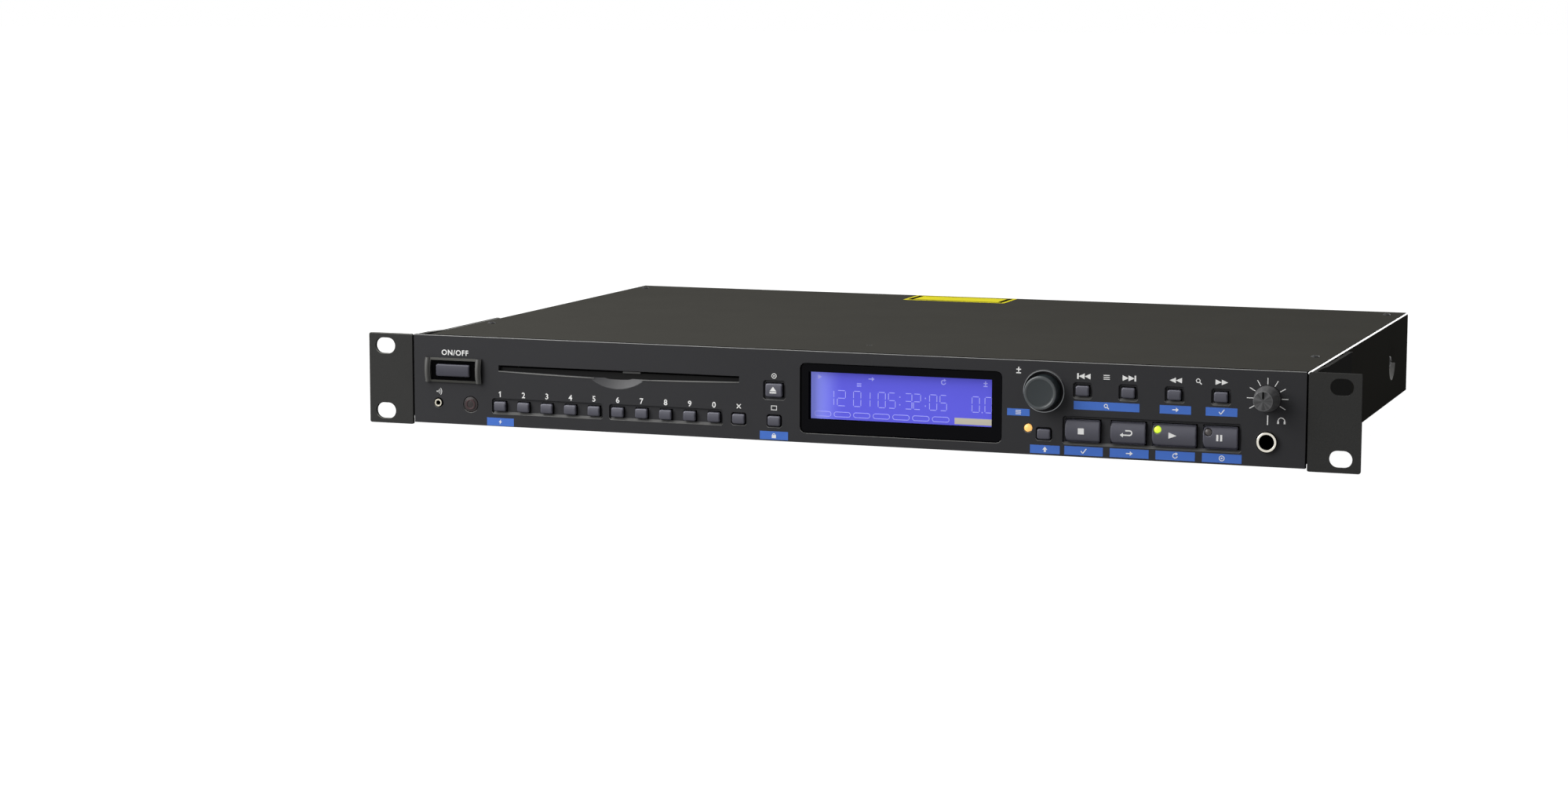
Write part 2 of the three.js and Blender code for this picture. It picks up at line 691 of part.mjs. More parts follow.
// Rack ears: a front plate with two obround slots and a leg that runs back along the casing
function rackEar(side) {
  const legTop = EAR_HEIGHT - EAR_LEG_DROP;
  const legOuter = earInner + EAR_THICKNESS;
  const across = (inner, end) => (side > 0 ? [inner, end] : [-end, -inner]);
  const plate = prismY(
    roundedPoints(side * (earInner + rackHalf) / 2, EAR_HEIGHT / 2, EAR_FACE_WIDTH, EAR_HEIGHT, EAR_CORNER),
    0, EAR_THICKNESS);
  const legOutline = [
    [0, EAR_LEG_FOOT], [EAR_LEG_LENGTH, EAR_LEG_FOOT], [EAR_LEG_LENGTH, legTop],
    [EAR_LEG_TAB + EAR_LEG_SLOPE, legTop], [EAR_LEG_TAB, EAR_HEIGHT - EAR_CORNER], [0, EAR_HEIGHT - EAR_CORNER],
  ];
  const leg = prismX(legOutline, ...across(earInner, legOuter));
  const slots = [-1, 1].map((up) => prismY(
    roundedPoints(side * (rackHalf - EAR_SLOT_INSET), EAR_HEIGHT / 2 + up * EAR_SLOT_SPACING_Z / 2,
      EAR_SLOT_LENGTH, EAR_SLOT_HEIGHT, EAR_SLOT_HEIGHT / 2 - WELD, 2 * CORNER_STEPS),
    -OVERRUN, EAR_THICKNESS + OVERRUN));
  const padZ = EAR_HEIGHT * EAR_PAD_Z_SHARE;
  const pads = EAR_PAD_Y_SHARES.map((share) =>
    roundX(EAR_LEG_LENGTH * share, padZ, EAR_PAD_RADIUS, ...across(caseHalf + FIT_GAP, legOuter)));
  return cut(join([plate, leg, ...pads]), slots);
}

// Top cover: a sheet folded down on both sides, with one pressed dimple on top and a dish in each side
function topCover() {
  const front = fasciaBack;
  const outside = roundedPoints(0, (CASE_LIFT + caseTop) / 2, 2 * caseHalf, CASE_HEIGHT, CASE_CORNER);
  const shell = prismY(outside, front, CASE_DEPTH);
  const hollowTop = caseTop - SHEET;
  const hollow = prismY(
    roundedPoints(0, hollowTop / 2, 2 * (caseHalf - SHEET), hollowTop, CASE_CORNER - SHEET),
    front - OVERRUN, CASE_DEPTH + OVERRUN);
  const skirtCut = box(-caseHalf - OVERRUN, caseHalf + OVERRUN, front - OVERRUN, CASE_DEPTH + OVERRUN,
    -OVERRUN, CASE_LIFT + CASE_CORNER);
  const skirts = [-1, 1].map((side) => {
    const outer = side * caseHalf;
    const inner = side * (caseHalf - SHEET);
    return box(Math.min(outer, inner), Math.max(outer, inner), front, CASE_DEPTH,
      CASE_LIFT, CASE_LIFT + CASE_CORNER);
  });
  const folded = join([cut(shell, [hollow, skirtCut]), ...skirts]);
  const dimpleFloor = DIMPLE_RADIUS * DIMPLE_FLOOR_SHARE;
  const dimplePlace = [0, DIMPLE_Y, caseTop];
  const dimplePress = latheZ([[0, -DIMPLE_DEPTH - SHEET], [dimpleFloor + SHEET, -DIMPLE_DEPTH - SHEET],
    [DIMPLE_RADIUS + SHEET, -SHEET / 2], [0, -SHEET / 2]], PRESSED_SIDES, dimplePlace);
  const dimpleCut = latheZ([[0, -DIMPLE_DEPTH], [dimpleFloor, -DIMPLE_DEPTH], [DIMPLE_RADIUS, 0],
    [DIMPLE_RADIUS, OVERRUN], [0, OVERRUN]], PRESSED_SIDES, dimplePlace);
  const dishFloor = SIDE_DISH_RADIUS * SIDE_DISH_FLOOR_SHARE;
  const pressProfile = [[0, -SIDE_DISH_DEPTH - SHEET], [dishFloor + SHEET / 2, -SIDE_DISH_DEPTH - SHEET],
    [SIDE_DISH_RADIUS + SHEET / 2, -SHEET / 2], [0, -SHEET / 2]];
  const dishProfile = [[0, -SIDE_DISH_DEPTH], [dishFloor, -SIDE_DISH_DEPTH], [SIDE_DISH_RADIUS, 0],
    [SIDE_DISH_RADIUS, OVERRUN], [0, OVERRUN]];
  const onSide = (profile, side) => latheX(profile, PRESSED_SIDES, side,
    [side * caseHalf, CASE_DEPTH - SIDE_DISH_INSET, SIDE_DISH_Z]);
  const added = [dimplePress, onSide(pressProfile, 1), onSide(pressProfile, -1)];
  return cut(join([folded, ...added]), [dimpleCut, onSide(dishProfile, 1), onSide(dishProfile, -1)]);
}

// Four places near the corners of a board or pan
function cornerPlaces(x, y, width, depth, inset) {
  return [[-1, -1], [1, -1], [1, 1], [-1, 1]].map(([signX, signY]) =>
    [x + signX * (width / 2 - inset), y + signY * (depth / 2 - inset)]);
}

// Base pan: the floor with two low walls, four pressed pads under it and the bosses that carry the boards
function basePan() {
  const rear = CASE_DEPTH - SHEET - FIT_GAP;
  const wallFront = lipBack + FIT_GAP;
  const wallTop = floorTop + BASE_WALL_HEIGHT;
  const floor = box(-innerHalf, innerHalf, fasciaBack, CASE_DEPTH, CASE_LIFT, floorTop);
  const walls = [-1, 1].map((side) => {
    const outer = side * innerHalf;
    const inner = side * (innerHalf - SHEET);
    return box(Math.min(outer, inner), Math.max(outer, inner), wallFront, rear, CASE_LIFT, wallTop);
  });
  const padX = innerHalf * PAD_SPREAD_SHARE;
  const pads = [PAD_FRONT_Y, CASE_DEPTH - PAD_REAR_INSET].flatMap((y) =>
    [-padX, padX].map((x) => roundZ(x, y, PAD_RADIUS, 0, CASE_LIFT + SHEET / 2)));
  const places = [
    ...cornerPlaces(mainX, mainY, mainWidth, mainDepth, HOLD_INSET),
    ...cornerPlaces(supplyX, supplyY, SUPPLY_WIDTH, supplyDepth, HOLD_INSET),
  ];
  const bosses = places.map(([x, y]) => roundZ(x, y, BOSS_RADIUS, floorTop - SHEET / 2, boardSeat - FIT_GAP));
  return join([floor, ...walls, ...pads, ...bosses]);
}

// Rear panel with an opening for each connector
function rearPanel() {
  const front = CASE_DEPTH - SHEET;
  const plate = box(-innerHalf, innerHalf, front, CASE_DEPTH, innerBottom, innerTop);
  const y0 = front - OVERRUN;
  const y1 = CASE_DEPTH + OVERRUN;
  const holes = [
    block(inletX, REAR_ROW_Z, INLET_BODY_WIDTH + 2 * FIT_GAP, INLET_BODY_HEIGHT + 2 * FIT_GAP, y0, y1),
    block(socketX, REAR_ROW_Z, SOCKET_SHELL_WIDTH + 2 * FIT_GAP, SOCKET_SHELL_HEIGHT + 2 * FIT_GAP, y0, y1),
  ];
  for (const x of balancedPlaces()) {
    holes.push(roundY(x, REAR_ROW_Z, BALANCED_BODY_RADIUS + FIT_GAP, y0, y1, ROUND_SIDES));
  }
  for (const x of phonoPlaces()) {
    holes.push(roundY(x, REAR_ROW_Z, PHONO_OUTER_RADIUS + FIT_GAP, y0, y1));
  }
  return cut(plate, holes);
}

function balancedPlaces() {
  return [balancedFirstX - BALANCED_PITCH, balancedFirstX];
}

function phonoPlaces() {
  return Array.from({ length: PHONO_COUNT }, (_, jack) => phonoX + (jack - (PHONO_COUNT - 1) / 2) * PHONO_PITCH);
}

// Every key: its place, size, how proud it stands and how far it goes in
const smallKey = {
  width: SMALL_KEY_WIDTH, height: SMALL_KEY_HEIGHT, proud: SMALL_KEY_PROUD, travel: SMALL_KEY_TRAVEL,
};
const largeKey = {
  height: LARGE_KEY_HEIGHT, proud: LARGE_KEY_PROUD, travel: LARGE_KEY_TRAVEL, z: LARGE_KEY_Z,
};
const keys = [];
for (let place = 0; place < DIGIT_COUNT; place += 1) {
  const digit = (place + 1) % DIGIT_COUNT;
  keys.push({ ...smallKey, name: `key_${digit}`, x: digitFirstX + place * DIGIT_PITCH, z: DIGIT_Z });
}
keys.push({ ...smallKey, name: 'clear_key', x: clearKeyX, z: CLEAR_KEY_Z });
keys.push({
  ...smallKey, name: 'eject_key', x: ejectKeyX, z: EJECT_KEY_Z,
  width: EJECT_KEY_WIDTH, height: EJECT_KEY_HEIGHT,
});
keys.push({ ...smallKey, name: 'display_key', x: ejectKeyX, z: DISPLAY_KEY_Z });
keys.push({ ...smallKey, name: 'shift_key', x: shiftKeyX, z: SHIFT_KEY_Z });
['skip_back_key', 'skip_forward_key', 'search_back_key', 'search_forward_key'].forEach((name, place) => {
  keys.push({ ...smallKey, name, x: transportFirstX + place * TRANSPORT_PITCH, z: TRANSPORT_Z });
});
keys.push({ ...largeKey, name: 'stop_key', x: stopKeyX, width: STOP_KEY_WIDTH });
keys.push({ ...largeKey, name: 'call_key', x: callKeyX, width: CALL_KEY_WIDTH });
keys.push({ ...largeKey, name: 'play_key', x: playKeyX, width: PLAY_KEY_WIDTH, lamp: true });
keys.push({ ...largeKey, name: 'pause_key', x: pauseKeyX, width: PAUSE_KEY_WIDTH, lamp: true });

const lampPlace = (key) => [-key.width / 2 + KEY_LAMP_INSET_X, key.height / 2 - KEY_LAMP_INSET_Z];

// A key: bevelled cap, retaining flange behind the fascia and a stem that meets its switch
function keySolid(key) {
  const ring = (y, width, height) => ({ y, points: roundedPoints(0, 0, width, height, KEY_CORNER, 1) });
  const flangeFront = fasciaBack;
  const flangeBack = flangeFront + KEY_FLANGE_THICKNESS;
  const flangeWidth = key.width + 2 * (FIT_GAP + KEY_FLANGE);
  const flangeHeight = key.height + 2 * (FIT_GAP + KEY_FLANGE);
  const stemEnd = switchFace - key.travel - FIT_GAP;
  const solid = loftY([
    ring(-key.proud, key.width - 2 * KEY_BEVEL, key.height - 2 * KEY_BEVEL),
    ring(KEY_BEVEL - key.proud, key.width, key.height),
    ring(flangeFront, key.width, key.height),
    ring(flangeFront, flangeWidth, flangeHeight),
    ring(flangeBack, flangeWidth, flangeHeight),
    ring(flangeBack, KEY_STEM, KEY_STEM),
    ring(stemEnd, KEY_STEM, KEY_STEM),
  ]);
  if (!key.lamp) {
    return solid;
  }
  const [lampX, lampZ] = lampPlace(key);
  return solid.subtract(roundY(lampX, lampZ, LAMP_RADIUS + FIT_GAP, -key.proud - OVERRUN, stemEnd));
}

// The recess in the fascia round a key or a row of keys, its margin measured from the keys' edges
function recessRound(first, last, margin) {
  const left = first.x - first.width / 2 - margin;
  const right = last.x + last.width / 2 + margin;
  const height = first.height + 2 * margin;
  return prismY(roundedPoints((left + right) / 2, first.z, right - left, height, RECESS_CORNER, 1),
    -OVERRUN, RECESS_DEPTH);
}

// The disc slot: a straight upper edge over a bowed lower one
function slotSolid() {
  const points = [[slotRight, SLOT_TOP_Z], [slotLeft, SLOT_TOP_Z]];
  for (let step = 0; step <= SLOT_STEPS; step += 1) {
    const share = step / SLOT_STEPS;
    const bow = 1 - (2 * share - 1) ** 2;
    points.push([slotLeft + share * SLOT_WIDTH, SLOT_TOP_Z - SLOT_END_HEIGHT - SLOT_BOW * bow]);
  }
  return prismY(points, -OVERRUN, FASCIA_THICKNESS + OVERRUN);
}

// The finger scoop: the lower part of a shallow bowl that runs out below the slot
function scoopSolid() {
  const slotFloor = SLOT_TOP_Z - SLOT_END_HEIGHT - SLOT_BOW;
  const centreZ = slotFloor - SCOOP_REACH + SCOOP_RADIUS;
  const bowlRadius = (SCOOP_RADIUS ** 2 + SCOOP_DEPTH ** 2) / (2 * SCOOP_DEPTH);
  const profile = [[0, -OVERRUN]];
  const depths = [];
  for (let step = 0; step <= SCOOP_STEPS; step += 1) {
    const r = SCOOP_RADIUS * (1 - (step / SCOOP_STEPS) ** 2);
    depths.push([r, Math.sqrt(bowlRadius ** 2 - r ** 2) - (bowlRadius - SCOOP_DEPTH)]);
  }
  profile.push([SCOOP_RADIUS, -OVERRUN], ...depths);
  const bowl = latheY(profile, BOWL_SIDES, [slotX, 0, centreZ]);
  const below = box(slotLeft, slotRight, -2 * OVERRUN, FASCIA_THICKNESS + OVERRUN,
    slotFloor - 2 * SCOOP_REACH, slotFloor + SLOT_BOW);
  return bowl.intersect(below);
}

// Pillars behind the fascia that the front board rests on
function pillarPlaces() {
  const rowGapZ = (TRANSPORT_Z - SMALL_KEY_HEIGHT / 2 + LARGE_KEY_Z + LARGE_KEY_HEIGHT / 2) / 2;
  return [
    [leftPillarX, LOW_PILLAR_Z],
    [slotX, LOW_PILLAR_Z],
    [(slotRight + ejectKeyX - EJECT_KEY_WIDTH / 2) / 2, HIGH_PILLAR_Z],
    [(ejectKeyX + EJECT_KEY_WIDTH / 2 + windowX - windowWidth / 2) / 2, WINDOW_Z],
    [(windowX + windowWidth / 2 + shiftLampX) / 2, SHIFT_LAMP_Z],
    [callKeyX, rowGapZ],
    [(pauseKeyX + PAUSE_KEY_WIDTH / 2 + levelX) / 2, WINDOW_Z],
  ];
}

// Front panel: the moulded fascia with its lip, recesses, slot, dial well and a hole for every control
function frontPanel() {
  const top = EAR_HEIGHT;
  const bevel = FASCIA_BEVEL;
  const section = [
    [bevel, FASCIA_LIFT], [FASCIA_THICKNESS, FASCIA_LIFT], [FASCIA_THICKNESS, top],
    [bevel, top], [0, top - bevel], [0, FASCIA_LIFT + bevel],
  ];
  const plate = prismX(section, -fasciaHalf, fasciaHalf);
  const lipMiddle = (innerBottom + innerTop) / 2;
  const lipHeight = innerTop - innerBottom;
  const lip = block(0, lipMiddle, 2 * innerHalf, lipHeight, FASCIA_THICKNESS - SHEET, lipBack)
    .subtract(block(0, lipMiddle, 2 * (innerHalf - LIP_THICKNESS), lipHeight - 2 * LIP_THICKNESS, 0,
      lipBack + OVERRUN));
  const rim = roundY(dialX, DIAL_Z, DIAL_RIM_RADIUS, -DIAL_RIM_PROUD, FASCIA_THICKNESS, FINE_SIDES);
  const pillars = pillarPlaces().map(([x, z]) =>
    roundY(x, z, PILLAR_RADIUS, FASCIA_THICKNESS - SHEET, boardFront - FIT_GAP));
  const body = join([plate, lip, rim, ...pillars]);

  const through = [-OVERRUN, FASCIA_THICKNESS + OVERRUN];
  const named = Object.fromEntries(keys.map((key) => [key.name, key]));
  const digits = keys.slice(0, DIGIT_COUNT);
  const recesses = [
    recessRound(digits[0], digits[DIGITS_IN_STRIP - 1], RECESS_MARGIN),
    recessRound(digits[DIGITS_IN_STRIP], digits[DIGIT_COUNT - 1], RECESS_MARGIN),
    recessRound(named.stop_key, named.pause_key, LARGE_RECESS_MARGIN),
  ];
  for (const key of keys.slice(DIGIT_COUNT)) {
    if (key.height !== LARGE_KEY_HEIGHT) {
      recesses.push(recessRound(key, key, key.z > WINDOW_Z ? RECESS_MARGIN : RECESS_MARGIN / 2));
    }
  }
  const keyHoles = keys.map((key) =>
    block(key.x, key.z, key.width + 2 * FIT_GAP, key.height + 2 * FIT_GAP, ...through));
  const window = prismY(
    roundedPoints(windowX, WINDOW_Z, windowWidth, WINDOW_HEIGHT, WINDOW_CORNER), ...through);
  const bezelNeck = block(powerX, POWER_Z, BEZEL_WIDTH - 2 * BEZEL_FLANGE + 2 * FIT_GAP,
    BEZEL_HEIGHT - 2 * BEZEL_FLANGE + 2 * FIT_GAP, ...through);
  const roundHoles = [
    roundY(remoteX, REMOTE_Z, REMOTE_RING_RADIUS + FIT_GAP, ...through),
    roundY(sensorX, SENSOR_Z, SENSOR_RADIUS + FIT_GAP, ...through, PRESSED_SIDES),
    roundY(shiftLampX, SHIFT_LAMP_Z, SHIFT_LAMP_RADIUS + FIT_GAP, ...through),
    roundY(levelX, LEVEL_Z, POT_SHAFT_RADIUS + 2 * FIT_GAP, ...through),
    roundY(phonesX, PHONES_Z, PHONES_NECK_RADIUS + FIT_GAP, ...through, ROUND_SIDES),
    roundY(dialX, DIAL_Z, dialWellRadius, -2 * OVERRUN, DIAL_WELL_DEPTH, FINE_SIDES),
    roundY(dialX, DIAL_Z, SHAFT_RADIUS + 2 * FIT_GAP, ...through),
  ];
  return cut(body, [...recesses, ...keyHoles, window, bezelNeck, slotSolid(), scoopSolid(), ...roundHoles]);
}

// Power bezel: two bowed cheeks with rails between them round a floor that the key passes through
function powerBezel() {
  const half = BEZEL_WIDTH / 2;
  const cheekInner = half - BEZEL_CHEEK_WIDTH;
  const neck = block(0, 0, BEZEL_WIDTH - 2 * BEZEL_FLANGE, BEZEL_HEIGHT - 2 * BEZEL_FLANGE,
    -BEZEL_FLOOR_PROUD, FASCIA_THICKNESS);
  const footprint = roundedPoints(0, 0, BEZEL_WIDTH, BEZEL_HEIGHT, BEZEL_CORNER);
  const plate = prismY(footprint, -BEZEL_RAIL_PROUD, -FIT_GAP);
  const bay = block(0, 0, 2 * cheekInner, BEZEL_HEIGHT - 2 * BEZEL_RAIL,
    -BEZEL_CHEEK_PROUD, -BEZEL_FLOOR_PROUD);
  const cheeks = [-1, 1].map((side) => {
    const outline = [[side * cheekInner, -FIT_GAP]];
    for (let step = 0; step <= CHEEK_STEPS; step += 1) {
      const share = step / CHEEK_STEPS;
      const bulge = Math.sqrt(1 - (2 * share - 1) ** 2 / CHEEK_FLATNESS);
      outline.push([side * (cheekInner + share * BEZEL_CHEEK_WIDTH),
        -FIT_GAP - (BEZEL_CHEEK_PROUD - FIT_GAP) * bulge]);
    }
    outline.push([side * half, -FIT_GAP]);
    return prismZ(outline, -BEZEL_HEIGHT / 2, BEZEL_HEIGHT / 2);
  });
  const hole = block(0, 0, POWER_KEY_WIDTH + 2 * FIT_GAP, POWER_KEY_HEIGHT + 2 * FIT_GAP,
    -BEZEL_CHEEK_PROUD - OVERRUN, FASCIA_THICKNESS + OVERRUN);
  return join([neck, plate.subtract(bay), ...cheeks]).subtract(hole);
}

// Power key: a wide cap with a flange behind its bezel and a stem into its switch
function powerKey() {
  const ring = (y, width, height) => ({ y, points: roundedPoints(0, 0, width, height, KEY_CORNER, 1) });
  const flangeBack = powerFloor + KEY_FLANGE_THICKNESS;
  const flangeWidth = POWER_KEY_WIDTH + 2 * (FIT_GAP + KEY_FLANGE);
  const flangeHeight = POWER_KEY_HEIGHT + 2 * (FIT_GAP + KEY_FLANGE);
  return loftY([
    ring(-POWER_KEY_PROUD, POWER_KEY_WIDTH - 2 * KEY_BEVEL, POWER_KEY_HEIGHT - 2 * KEY_BEVEL),
    ring(KEY_BEVEL - POWER_KEY_PROUD, POWER_KEY_WIDTH, POWER_KEY_HEIGHT),
    ring(powerFloor, POWER_KEY_WIDTH, POWER_KEY_HEIGHT),
    ring(powerFloor, flangeWidth, flangeHeight),
    ring(flangeBack, flangeWidth, flangeHeight),
    ring(flangeBack, POWER_STEM, POWER_STEM),
    ring(flangeBack + POWER_STEM_LENGTH, POWER_STEM, POWER_STEM),
  ]);
}

// A lamp: a domed rod from the front board through the panel or a key
function lampSolid(radius, front) {
  return latheY([[0, front], [radius / 2, front + LAMP_PROUD / 4], [radius, front + LAMP_PROUD],
    [radius, boardFront - FIT_GAP], [0, boardFront - FIT_GAP]], SMALL_SIDES);
}

// Remote socket: a bright ring in the panel with its body against the board
function remoteJack() {
  const ring = roundY(0, 0, REMOTE_RING_RADIUS, -REMOTE_PROUD, fasciaBack + SHEET);
  const body = block(0, 0, REMOTE_BODY, REMOTE_BODY, fasciaBack, boardFront - FIT_GAP);
  const bore = roundY(0, 0, REMOTE_BORE_RADIUS, -REMOTE_PROUD - OVERRUN, boardFront - SHEET);
  return ring.add(body).subtract(bore);
}

// Sensor window: a low lens with a flange behind the panel
function sensorWindow() {
  const flangeBack = fasciaBack + KEY_FLANGE_THICKNESS;
  return latheY([[0, -SENSOR_DOME], [SENSOR_RADIUS * 2 / 3, -SENSOR_DOME / 2], [SENSOR_RADIUS, 0],
    [SENSOR_RADIUS, fasciaBack], [SENSOR_RADIUS + KEY_FLANGE + FIT_GAP, fasciaBack],
    [SENSOR_RADIUS + KEY_FLANGE + FIT_GAP, flangeBack], [0, flangeBack]], PRESSED_SIDES);
}

// Display window: a pane in the panel's opening with a flange at each end behind it
function displayWindow() {
  const pane = prismY(roundedPoints(0, 0, windowWidth - 2 * FIT_GAP, WINDOW_HEIGHT - 2 * FIT_GAP,
    WINDOW_CORNER - FIT_GAP), WINDOW_SET_BACK, fasciaBack + WINDOW_FLANGE_THICKNESS);
  const flange = block(0, 0, windowWidth + 2 * WINDOW_FLANGE, WINDOW_HEIGHT - 2 * WINDOW_CORNER,
    fasciaBack, fasciaBack + WINDOW_FLANGE_THICKNESS);
  return pane.add(flange);
}

// Display module: a frame round a raised glass, between the pane and the board
function displayModule() {
  const front = fasciaBack + WINDOW_FLANGE_THICKNESS + FIT_GAP;
  const glassX = (GLASS_LEFT_MARGIN - GLASS_RIGHT_MARGIN) / 2;
  const glassZ = (GLASS_BOTTOM_MARGIN - GLASS_TOP_MARGIN) / 2;
  const width = glassWidth + 2 * MODULE_FRAME;
  const height = glassHeight + 2 * MODULE_FRAME;
  const frame = block(glassX, glassZ, width, height, front + GLASS_RISE, boardFront - FIT_GAP);
  const pane = block(glassX, glassZ, glassWidth, glassHeight, front, front + 2 * GLASS_RISE);
  return frame.add(pane);
}

// Pitch dial: a smooth cup over its shaft
function pitchDial() {
  const points = circlePoints(0, 0, DIAL_RADIUS, FINE_SIDES);
  const shrink = (share) => points.map(([x, z]) => [x * share, z * share]);
  const front = -DIAL_PROUD;
  const edgeShare = (DIAL_RADIUS - DIAL_EDGE) / DIAL_RADIUS;
  const dishShare = (DIAL_RADIUS - 2 * DIAL_EDGE) / DIAL_RADIUS;
  const cup = loftY([
    { y: front + DIAL_DISH, points: shrink(dishShare / 2) },
    { y: front, points: shrink(dishShare) },
    { y: front, points: shrink(edgeShare) },
    { y: front + DIAL_EDGE, points },
    { y: dialBack - DIAL_TRAVEL, points },
  ]);
  const bore = roundY(0, 0, shaftHoleRadius, dialBack - DIAL_CORE_DEPTH, dialBack + OVERRUN);
  return cup.subtract(bore);
}

// Dial shaft: a rod with a collar behind the panel, pushed into the encoder against its switch
function dialShaft() {
  const front = dialBack - DIAL_CORE_DEPTH + FIT_GAP;
  const back = boardFront - ENCODER_FLOOR - FIT_GAP - DIAL_TRAVEL;
  const rod = roundY(0, 0, SHAFT_RADIUS, front, back);
  const collar = roundY(0, 0, SHAFT_COLLAR_RADIUS, fasciaBack, fasciaBack + SHAFT_COLLAR_THICKNESS);
  return rod.add(collar);
}

// Level knob: a fluted, tapered turned knob with a pointer groove, fixed on its own shaft
function levelKnob() {
  const fluted = (radius, depth) => Array.from({ length: 2 * LEVEL_FLUTES }, (_, side) => {
    const angle = side / (2 * LEVEL_FLUTES) * 2 * Math.PI;
    const r = radius - (side % 2) * depth;
    return [r * Math.cos(angle), r * Math.sin(angle)];
  });
  const cap = loftY([
    { y: -LEVEL_PROUD, points: fluted(LEVEL_FACE_RADIUS - LEVEL_BEVEL, 0) },
    { y: LEVEL_BEVEL - LEVEL_PROUD, points: fluted(LEVEL_FACE_RADIUS, LEVEL_FLUTE_DEPTH) },
    { y: -LEVEL_CLEAR, points: fluted(LEVEL_BASE_RADIUS, LEVEL_FLUTE_DEPTH) },
  ]);
  const shaftEnd = fasciaBack + (boardFront - fasciaBack) * POT_DEPTH_SHARE - FIT_GAP;
  const shaft = roundY(0, 0, POT_SHAFT_RADIUS, -LEVEL_CLEAR - SHEET, shaftEnd);
  const groove = box(-LEVEL_POINTER_WIDTH / 2, LEVEL_POINTER_WIDTH / 2, -LEVEL_PROUD - OVERRUN,
    LEVEL_POINTER_DEPTH - LEVEL_PROUD, 0, LEVEL_BASE_RADIUS + OVERRUN);
  return cap.add(shaft).subtract(groove);
}

// Headphone jack: a bright ring with a flared mouth, its neck through the panel and its body behind
function headphoneJack() {
  const front = -PHONES_PROUD;
  const ring = roundY(0, 0, PHONES_RING_RADIUS, front, -FIT_GAP, FINE_SIDES);
  const neck = roundY(0, 0, PHONES_NECK_RADIUS, -SHEET, fasciaBack + SHEET, ROUND_SIDES);
  const body = block(0, 0, PHONES_BODY, PHONES_BODY, fasciaBack, fasciaBack + PHONES_DEPTH);
  const bore = latheY([[0, front - OVERRUN], [PHONES_BORE_RADIUS + PHONES_MOUTH + OVERRUN, front - OVERRUN],
    [PHONES_BORE_RADIUS, front + PHONES_MOUTH], [PHONES_BORE_RADIUS, fasciaBack + PHONES_DEPTH - SHEET],
    [0, fasciaBack + PHONES_DEPTH - SHEET]], ROUND_SIDES);
  return join([ring, neck, body]).subtract(bore);
}

// Front board: the upright circuit board with its switches, encoder, level control and power switch
function frontBoard() {
  const half = innerHalf - LIP_THICKNESS - BOARD_MARGIN;
  const bottom = innerBottom + LIP_THICKNESS + BOARD_MARGIN;
  const top = innerTop - LIP_THICKNESS - BOARD_MARGIN;
  const slotFloor = SLOT_TOP_Z - SLOT_END_HEIGHT - SLOT_BOW;
  const plate = box(-half, half, boardFront, boardBack, bottom, top);
  const y0 = boardFront - OVERRUN;
  const y1 = boardBack + OVERRUN;
  const notches = [
    box(slotLeft - SLOT_NOTCH_MARGIN, slotRight + SLOT_NOTCH_MARGIN, y0, y1, slotFloor - SLOT_NOTCH_DEPTH,
      top + OVERRUN),
    box(phonesX - PHONES_BODY / 2 - FIT_GAP, phonesX + PHONES_BODY / 2 + FIT_GAP, y0, y1, bottom - OVERRUN,
      PHONES_Z + PHONES_BODY / 2 + FIT_GAP),
  ];
  const switches = keys.map((key) =>
    block(key.x, key.z, SWITCH_SIZE, Math.min(SWITCH_SIZE, key.height), switchFace, boardFront + SHEET));
  const encoder = block(dialX, DIAL_Z, ENCODER_BODY, ENCODER_BODY,
    fasciaBack + SHAFT_COLLAR_THICKNESS + DIAL_TRAVEL + FIT_GAP, boardFront + SHEET)
    .subtract(roundY(dialX, DIAL_Z, shaftHoleRadius, 0, boardFront - ENCODER_FLOOR));
  const potBack = boardFront + SHEET;
  const potHoleEnd = fasciaBack + (boardFront - fasciaBack) * POT_DEPTH_SHARE;
  const pot = block(levelX, LEVEL_Z, POT_BODY, POT_BODY, fasciaBack, potBack)
    .subtract(roundY(levelX, LEVEL_Z, POT_SHAFT_RADIUS + FIT_GAP, 0, potHoleEnd));
  const powerBody = block(powerX, POWER_Z, POWER_BODY_WIDTH, POWER_BODY_HEIGHT, boardFront,
    boardBack + POWER_BODY_DEPTH);
  const stemEnd = powerFloor + KEY_FLANGE_THICKNESS + POWER_STEM_LENGTH + POWER_TRAVEL + FIT_GAP;
  const stemHole = block(powerX, POWER_Z, POWER_STEM + 2 * FIT_GAP, POWER_STEM + 2 * FIT_GAP, y0, stemEnd);
  return join([cut(plate, notches), ...switches, encoder, pot, powerBody]).subtract(stemHole);
}

// Main board: chips, headers and upright capacitors on a plate
function mainBoard() {
  const top = BOARD_THICKNESS;
  const plate = slab(0, 0, mainWidth, mainDepth, 0, top);
  const chips = CHIP_SHARES.map(([xShare, yShare, sideShare]) =>
    slab(xShare * mainWidth, yShare * mainDepth, sideShare * mainWidth, sideShare * mainWidth,
      top / 2, top + CHIP_HEIGHT));
  const headers = HEADER_SHARES.map(([xShare, yShare, widthShare]) =>
    slab(xShare * mainWidth, yShare * mainDepth, widthShare * mainWidth, HEADER_HEIGHT * HEADER_DEPTH_SHARE,
      top / 2, top + HEADER_HEIGHT));
  const caps = CAP_SHARES.map(([xShare, yShare]) =>
    roundZ(xShare * mainWidth, yShare * mainDepth, CAP_RADIUS, top / 2, top + CAP_HEIGHT));
  return join([plate, ...chips, ...headers, ...caps]);
}

